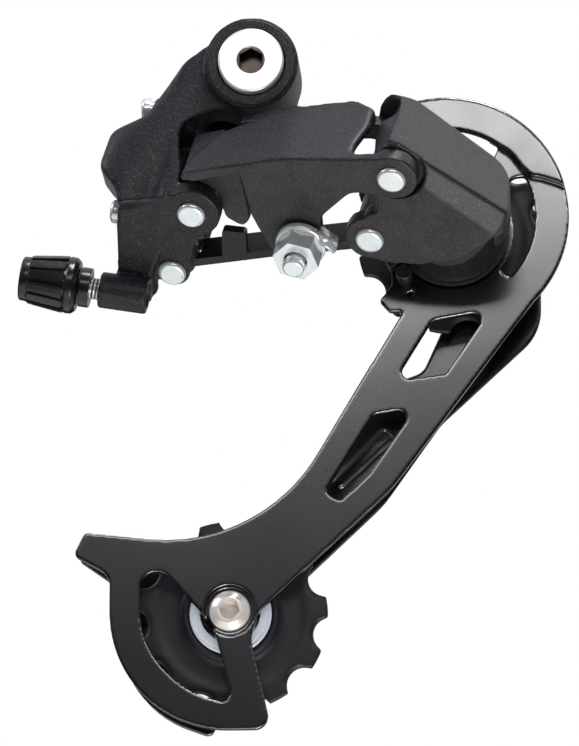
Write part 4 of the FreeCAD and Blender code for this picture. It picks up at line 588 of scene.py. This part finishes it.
def place_of(joint):
    return Vector(JOINTS[joint]["pos_m"]) / MM


def level_place_of(joint):
    """The joint's place moved along Y to the plane of the origin."""
    place = place_of(joint)
    return Vector((place.x, 0.0, place.z))


ALONG_PINS = axis_of("outer_link_swing")
FORWARD = (Vector((1, 0, 0)) - ALONG_PINS * ALONG_PINS.x).normalized()
INWARD = ALONG_PINS.cross(FORWARD)
PIN_HEAD = place_of("outer_link_swing")
CAGE_PIVOT = level_place_of("cage_pivot")
TENSION_AXLE = level_place_of("tension_pulley_spin")


def run_to(place):
    """Forward and inward from the upper outboard pin."""
    return Vector(((place - PIN_HEAD).dot(FORWARD), (place - PIN_HEAD).dot(INWARD)))


UPPER_RUN = Vector((0.0, 0.0))
LOWER_RUN = run_to(place_of("lower_knuckle_swing"))                 # the lower outboard pin
INNER_RUN = LOWER_RUN + run_to(place_of("inner_link_swing"))        # the lower inboard pin
CLAMP_RUN = Vector((24.65, 3.9))                                    # the cable clamp's stud
KNOB_END = 28.6             # the adjuster's turning place is at the knob's end, this far from its seat


def seat(origin, along, side=(0, 0, 1)):
    """A frame in millimetres whose z runs along the given direction and whose x leans to the side."""
    z = Vector(along).normalized()
    x = (Vector(side) - z * Vector(side).dot(z)).normalized()
    turn = Matrix((x, z.cross(x), z)).transposed().to_4x4()
    return Matrix.Translation(Vector(origin) * MM) @ turn @ Matrix.Scale(MM, 4)


BARREL_SEAT = seat((0, 0, 0), (0, -1, 0))         # outboard from the origin, on the mounting bolt's axis
HANGER_SEAT = seat((0, 0, 0), (0, 1, 0))          # inboard from there
KNOB_SEAT = seat(place_of("adjuster_turn") - axis_of("adjuster_turn") * KNOB_END, axis_of("adjuster_turn"))
CLAMP_SEAT = seat(PIN_HEAD + FORWARD * CLAMP_RUN.x + INWARD * CLAMP_RUN.y, -ALONG_PINS, FORWARD)


LATHE_STEPS = 96            # faces round a turned piece


def lathe(name, profiles, place, chamfer, segments=2):
    """Turned rings and discs: each profile is a closed loop of (radius, height) in millimetres."""
    work = bmesh.new()
    for profile in profiles:
        rings = []
        for radius, height in profile:
            turns = [tau * k / LATHE_STEPS for k in range(LATHE_STEPS)]
            rings.append([work.verts.new((radius * cos(turn), radius * sin(turn), height)) for turn in turns])
        for low, high in zip(rings, rings[1:] + rings[:1]):
            for near in range(LATHE_STEPS):
                far = (near + 1) % LATHE_STEPS
                work.faces.new((low[near], low[far], high[far], high[near]))
    bmesh.ops.recalc_face_normals(work, faces=work.faces)
    mesh = bpy.data.meshes.new(name)
    work.to_mesh(mesh)
    work.free()
    mesh.transform(place)
    mesh.shade_smooth()
    return crisp(placed(name, mesh), chamfer, segments, angle=25)


def add_on(piece, node, finish):
    """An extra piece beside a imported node's own."""
    paint_all(piece.data, finish)
    go_with(piece, node)


def repaint(piece, finish, chosen):
    """Gives the finish to the faces whose middle passes the test; the test gets it in millimetres."""
    piece.data.materials.append(finish)
    last = len(piece.data.materials) - 1
    for face in piece.data.polygons:
        if chosen(face.center / MM):
            face.material_index = last


# ---------------------------------------------------------------- what repeats or follows a path

NUMBER = "NodeSocketFloat"


def growing_tree(name, inputs):
    """An empty geometry tree with named inputs (kind, name, value)."""
    tree = bpy.data.node_groups.new(name, "GeometryNodeTree")
    tree.interface.new_socket(name="Geometry", in_out="INPUT", socket_type="NodeSocketGeometry")
    for kind, title, value in inputs:
        socket = tree.interface.new_socket(name=title, in_out="INPUT", socket_type=kind)
        if value is not None:
            socket.default_value = value
    tree.interface.new_socket(name="Geometry", in_out="OUTPUT", socket_type="NodeSocketGeometry")
    return tree, tree.nodes.new("NodeGroupInput").outputs, tree.nodes.new("NodeGroupOutput").inputs


def finish_tree(tree, geometry, given, gives):
    """Ends a tree: copies made real, and the given material on them."""
    real = tree.nodes.new("GeometryNodeRealizeInstances")
    tree.links.new(geometry, real.inputs["Geometry"])
    coat = tree.nodes.new("GeometryNodeSetMaterial")
    tree.links.new(real.outputs["Geometry"], coat.inputs["Geometry"])
    tree.links.new(given["Material"], coat.inputs["Material"])
    tree.links.new(coat.outputs["Geometry"], gives["Geometry"])
    return tree


def make_thread_tree():
    """A helical ridge with a pointed crest: length = pitch x turns."""
    tree, given, gives = growing_tree("screw_thread", [(NUMBER, "Radius", 2.5), (NUMBER, "Pitch", 0.8),
                                                       (NUMBER, "Turns", 4.0), (NUMBER, "Ridge", 0.3),
                                                       ("NodeSocketMaterial", "Material", None)])
    helix = tree.nodes.new("GeometryNodeCurveSpiral")
    helix.inputs["Resolution"].default_value = 36
    tree.links.new(given["Turns"], helix.inputs["Rotations"])
    tree.links.new(given["Radius"], helix.inputs["Start Radius"])
    tree.links.new(given["Radius"], helix.inputs["End Radius"])
    tree.links.new(product(tree, given["Pitch"], given["Turns"]), helix.inputs["Height"])
    crest = tree.nodes.new("GeometryNodeCurvePrimitiveCircle")
    crest.inputs["Resolution"].default_value = 4
    tree.links.new(given["Ridge"], crest.inputs["Radius"])
    sweep = tree.nodes.new("GeometryNodeCurveToMesh")
    sweep.inputs["Fill Caps"].default_value = True
    tree.links.new(helix.outputs[0], sweep.inputs["Curve"])
    tree.links.new(crest.outputs[0], sweep.inputs["Profile Curve"])
    return finish_tree(tree, sweep.outputs[0], given, gives)


def make_pad_tree():
    """Rounded grip pads spaced round a cone."""
    tree, given, gives = growing_tree("grip_pads", [("NodeSocketInt", "Count", 12), (NUMBER, "Radius", 5.5),
                                                    (NUMBER, "Height", 0.9), (NUMBER, "Width", 1.8),
                                                    (NUMBER, "Length", 8.0), (NUMBER, "Taper", 0.13),
                                                    ("NodeSocketMaterial", "Material", None)])
    ring = tree.nodes.new("GeometryNodeMeshCircle")
    tree.links.new(given["Count"], ring.inputs["Vertices"])
    tree.links.new(given["Radius"], ring.inputs["Radius"])
    size = tree.nodes.new("ShaderNodeCombineXYZ")
    for axis, title in enumerate(("Height", "Width", "Length")):
        tree.links.new(given[title], size.inputs[axis])
    block = tree.nodes.new("GeometryNodeMeshCube")
    tree.links.new(size.outputs[0], block.inputs["Size"])
    rounder = tree.nodes.new("GeometryNodeSubdivisionSurface")
    rounder.inputs["Level"].default_value = 2
    rounder.inputs["Edge Crease"].default_value = 0.55
    tree.links.new(block.outputs["Mesh"], rounder.inputs["Mesh"])
    tilt = tree.nodes.new("ShaderNodeCombineXYZ")
    tree.links.new(product(tree, given["Taper"], -1.0), tilt.inputs["Y"])
    lean = tree.nodes.new("GeometryNodeTransform")
    tree.links.new(rounder.outputs[0], lean.inputs["Geometry"])
    tree.links.new(tilt.outputs[0], lean.inputs["Rotation"])
    place = tree.nodes.new("GeometryNodeInputPosition")
    facing = tree.nodes.new("FunctionNodeAlignRotationToVector")
    facing.axis = "X"
    tree.links.new(place.outputs[0], facing.inputs["Vector"])
    spread = tree.nodes.new("GeometryNodeInstanceOnPoints")
    tree.links.new(ring.outputs[0], spread.inputs["Points"])
    tree.links.new(lean.outputs[0], spread.inputs["Instance"])
    tree.links.new(facing.outputs[0], spread.inputs["Rotation"])
    return finish_tree(tree, spread.outputs[0], given, gives)


def grown(name, tree, place, **values):
    """Runs a geometry tree once and keeps the plain mesh, put in place."""
    piece = placed(name, bpy.data.meshes.new(name))
    grow = piece.modifiers.new("grow", "NODES")
    grow.node_group = tree
    for item in tree.interface.items_tree:
        if item.in_out == "INPUT" and item.name in values:
            grow[item.identifier] = values[item.name]
    settle(piece)
    piece.data.transform(place)
    return piece


def thinned(piece, place, radius, low, high):
    """Brings the plain shank down to the root of its thread between two heights."""
    back = place.inverted()
    for vertex in piece.data.vertices:
        local = back @ vertex.co
        across = (local.x ** 2 + local.y ** 2) ** 0.5
        if low <= local.z <= high and across > radius:
            local.x *= radius / across
            local.y *= radius / across
            vertex.co = place @ local


def threaded(piece, node, name, place, radius, pitch, low, high):
    """Cuts a shank down between two heights and puts a zinc-plated helical ridge on it."""
    ridge = pitch * RIDGE_SHARE
    root = radius - ridge
    thinned(piece, place, root, low - THREAD_RUNOUT, high + THREAD_RUNOUT)
    turns = (high - low - pitch) / pitch
    start = place @ Matrix.Translation((0, 0, low + pitch / 2))
    coil = grown(name, THREAD, start, Radius=root, Pitch=pitch, Turns=turns, Ridge=ridge,
                 Material=FINISHES["zinc_steel"])
    go_with(coil, node)


THREAD = make_thread_tree()
PADS = make_pad_tree()
RIDGE_SHARE = 0.42          # height of a ridge to its pitch
THREAD_RUNOUT = 0.05


# ---------------------------------------------------------------- where the castings are rounded most

def eased(value, low, high):
    """0 below low, 1 above high."""
    return min(1.0, max(0.0, (value - low) / (high - low)))


def pin_place(at):
    """Forward, inward and along the pins from the head of the upper outboard pin."""
    from_head = at - PIN_HEAD
    return from_head.dot(FORWARD), from_head.dot(INWARD), from_head.dot(ALONG_PINS)


def off_pins(forward, inward, runs, low, high):
    """0 within low of any of the pins, 1 beyond high of all of them."""
    return min(eased(((forward - u) ** 2 + (inward - v) ** 2) ** 0.5, low, high) for u, v in runs)


def hood_share(at):
    """The upper casting's hood, clear of the barrel, of the lugs and of where the link swings."""
    off_barrel = eased((at.x ** 2 + at.z ** 2) ** 0.5, 11.0, 14.0)
    clear_of_link = eased(-pin_place(at)[0], 6.0, 9.5)
    return off_barrel * clear_of_link * eased(at.z, -34.0, -29.0) * eased(-at.y, 4.0, 9.0)


def link_share(at):
    """The outboard face of the link, clear of its pins, of the clamp and of the upper casting."""
    forward, inward, along = pin_place(at)
    clear = off_pins(forward, inward, (UPPER_RUN, LOWER_RUN, CLAMP_RUN), 5.0, 8.0)
    return clear * (1.0 - eased(along, 11.0, 14.0)) * eased(forward, 4.0, 10.0)


def knuckle_share(at):
    """The lower casting, clear of its two pins."""
    return off_pins(*pin_place(at)[:2], (LOWER_RUN, INNER_RUN), 6.0, 9.0) * 0.8


# ---------------------------------------------------------------- pieces

CROWN_DEPTH = 2.4           # the crown falls back by no more than this


def crowned(piece, share, start, end, rise):
    """Crowns a flat front: it falls back with the square of the distance from a ridge line."""
    run = Vector(end) - Vector(start)
    for vertex in piece.data.vertices:
        at = vertex.co / MM
        from_start = Vector((at.x, at.z)) - Vector(start)
        aside = from_start.cross(run) / run.length
        vertex.co.y += share(at) * min(CROWN_DEPTH, rise * aside * aside) * MM


def cast_pieces():
    upper = softened("b_knuckle", "upper_casting", 0.40, 6, hood_share, 60)
    crowned(upper, hood_share, (-9.0, 3.0), (-25.0, -22.0), 0.034)
    stand_for(upper, "b_knuckle", KNUCKLE_COAT)
    stand_for(softened("outer_link", "link_casting", 0.34, 6, link_share, 40), "outer_link")
    stand_for(softened("p_knuckle", "lower_casting", 0.36, 6, knuckle_share, 14), "p_knuckle")
    ring = [(7.5, 19.7), (7.55, 20.35), (9.45, 20.35), (9.8, 20.0), (9.8, 19.7)]
    lip = lathe("barrel_lip", [ring], BARREL_SEAT, chamfer=0.14, segments=3)
    add_on(lip, "b_knuckle", KNUCKLE_COAT)


def pressed_pieces():
    for node, name in (("outer_cage_plate", "outer_pressing"), ("inner_cage_plate", "inner_pressing")):
        stand_for(softened(node, name, 0.31, 5), node)


def web_share(axis):
    """The dished web of a wheel, clear of its bore and its teeth."""
    def share(at):
        radius = ((at.x - axis.x) ** 2 + (at.z - axis.z) ** 2) ** 0.5
        return eased(radius, 9.8, 10.8) * (1.0 - eased(radius, 18.4, 20.0))
    return share


def moulded_pieces():
    for node, name, axis in (("guide_pulley", "upper_wheel", CAGE_PIVOT),
                             ("tension_pulley", "lower_wheel", TENSION_AXLE)):
        stand_for(softened(node, name, 0.32, 3, web_share(axis), 60), node)
    body = [(2.0, 15.6), (4.4, 15.6), (5.5, 15.8), (6.25, 16.7), (6.3, 18.0), (5.75, 18.8), (4.75, 26.2),
            (4.95, 26.8), (4.85, 28.3), (4.5, 28.6), (2.9, 28.6), (2.55, 28.2), (2.55, 21.6), (2.0, 21.6)]
    stand_for(lathe("adjuster_knob_body", [body], KNOB_SEAT, chamfer=0.12, segments=3), "adjuster_knob")
    pads = grown("knob_pads", PADS, KNOB_SEAT @ Matrix.Translation((0, 0, 22.5)), Count=12, Radius=5.3,
                 Height=1.1, Width=2.1, Length=8.6, Taper=0.13, Material=FINISHES["gloss_plastic"])
    go_with(pads, "adjuster_knob")


HEAD_FACE = -18.6           # the bolt's pale face is outboard of this
SOCKET_DEPTH = (-22.1, -16.0)
SOCKET_RADIUS = 3.05


def in_socket(at):
    low, high = SOCKET_DEPTH
    return low < at.y < high and at.x ** 2 + at.z ** 2 < SOCKET_RADIUS ** 2


def mounting_bolt_piece():
    bolt = chamfered("mounting_bolt", 0.35, steps=4)
    threaded(bolt, "mounting_bolt", "hanger_thread", HANGER_SEAT, radius=5.0, pitch=1.0, low=0.4, high=9.0)
    stand_for(bolt, "mounting_bolt")
    repaint(bolt, BOLT_FACE, lambda at: at.y < HEAD_FACE)
    # painted shade inside the hex socket
    repaint(bolt, SOCKET_SHADE, in_socket)


def clamp_tab():
    """The washer's bent-up tab: a thin four-sided plate, given by its outer face and then its inner one."""
    outer = [(4.8, 5.6, 0.1), (8.6, 2.8, 0.1), (8.9, 2.6, 5.0), (5.6, 5.2, 5.0)]
    inner = [(u - 0.7, v - 1.0, w) for u, v, w in outer]
    mesh = bpy.data.meshes.new("clamp_tab")
    mesh.from_pydata([CLAMP_SEAT @ Vector(corner) for corner in outer + inner], [],
                     [(0, 1, 2, 3), (5, 4, 7, 6), (1, 5, 6, 2), (4, 0, 3, 7), (3, 2, 6, 7), (4, 5, 1, 0)])
    work = bmesh.new()
    work.from_mesh(mesh)
    bmesh.ops.recalc_face_normals(work, faces=work.faces)
    bmesh.ops.bevel(work, geom=work.edges, offset=0.25 * MM, segments=3, affect="EDGES")
    work.to_mesh(mesh)
    work.free()
    mesh.shade_smooth()
    return placed("clamp_tab", mesh)


def clamp_pieces():
    ring = [(2.6, 0.05), (2.6, 1.6), (5.3, 1.6), (5.6, 1.3), (5.6, 0.05)]
    stand_for(lathe("clamp_washer_disc", [ring], CLAMP_SEAT, chamfer=0.12), "clamp_washer")
    add_on(clamp_tab(), "clamp_washer", FINISHES[SLOT_OF["clamp_washer"]])
    stud = chamfered("clamp_stud")
    threaded(stud, "clamp_stud", "stud_thread", CLAMP_SEAT, radius=2.5, pitch=0.8, low=6.7, high=8.9)
    stand_for(stud, "clamp_stud")


CAP_PROFILE = [(2.55, 0.0), (5.0, 0.0), (7.9, 0.4), (8.05, 0.62), (8.25, 0.62), (8.35, 0.46), (8.8, 0.56),
               (9.0, 0.7), (9.0, 1.2), (5.0, 0.6), (2.55, 0.6)]
CAP_FACES = ((7.0, 1), (15.0, -1))     # where each cap's outer face lies along Y, and which way the cap goes


def cap_pieces():
    """Two caps to a wheel, one the mirror of the other."""
    for node, axis in (("guide_dust_caps", CAGE_PIVOT), ("tension_dust_caps", TENSION_AXLE)):
        profiles = [[(radius, face + way * height) for radius, height in CAP_PROFILE]
                    for face, way in CAP_FACES]
        caps = lathe(node + "_finished", profiles, seat((axis.x, 0, axis.z), (0, 1, 0)), chamfer=0.05)
        stand_for(caps, node, CAP_ZINC)


def turned_pieces():
    """The adjuster's tube, the stop pin, and every piece in view that nothing stands for yet."""
    tube = chamfered("adjuster_screw", 0.12)
    threaded(tube, "adjuster_screw", "adjuster_thread", KNOB_SEAT, radius=2.5, pitch=0.8, low=10.6, high=15.2)
    stand_for(tube, "adjuster_screw")
    stand_for(chamfered("cage_stop_pin"), "cage_stop_pin", FINISHES["black_steel"])
    for node in sorted(set(frame["nodes"]) - HIDDEN_INSIDE - REPLACED):
        stand_for(chamfered(node), node)


def hidden_pieces():
    """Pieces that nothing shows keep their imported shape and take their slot's finish."""
    for node in sorted(HIDDEN_INSIDE):
        paint_all(frame["nodes"][node].data, FINISHES[SLOT_OF[node]])


camera()
studio_lamps()
studio_world()
studio_floor()
cast_pieces()
pressed_pieces()
moulded_pieces()
mounting_bolt_piece()
clamp_pieces()
cap_pieces()
turned_pieces()
hidden_pieces()

bpy.context.scene.view_settings.view_transform = "Standard"
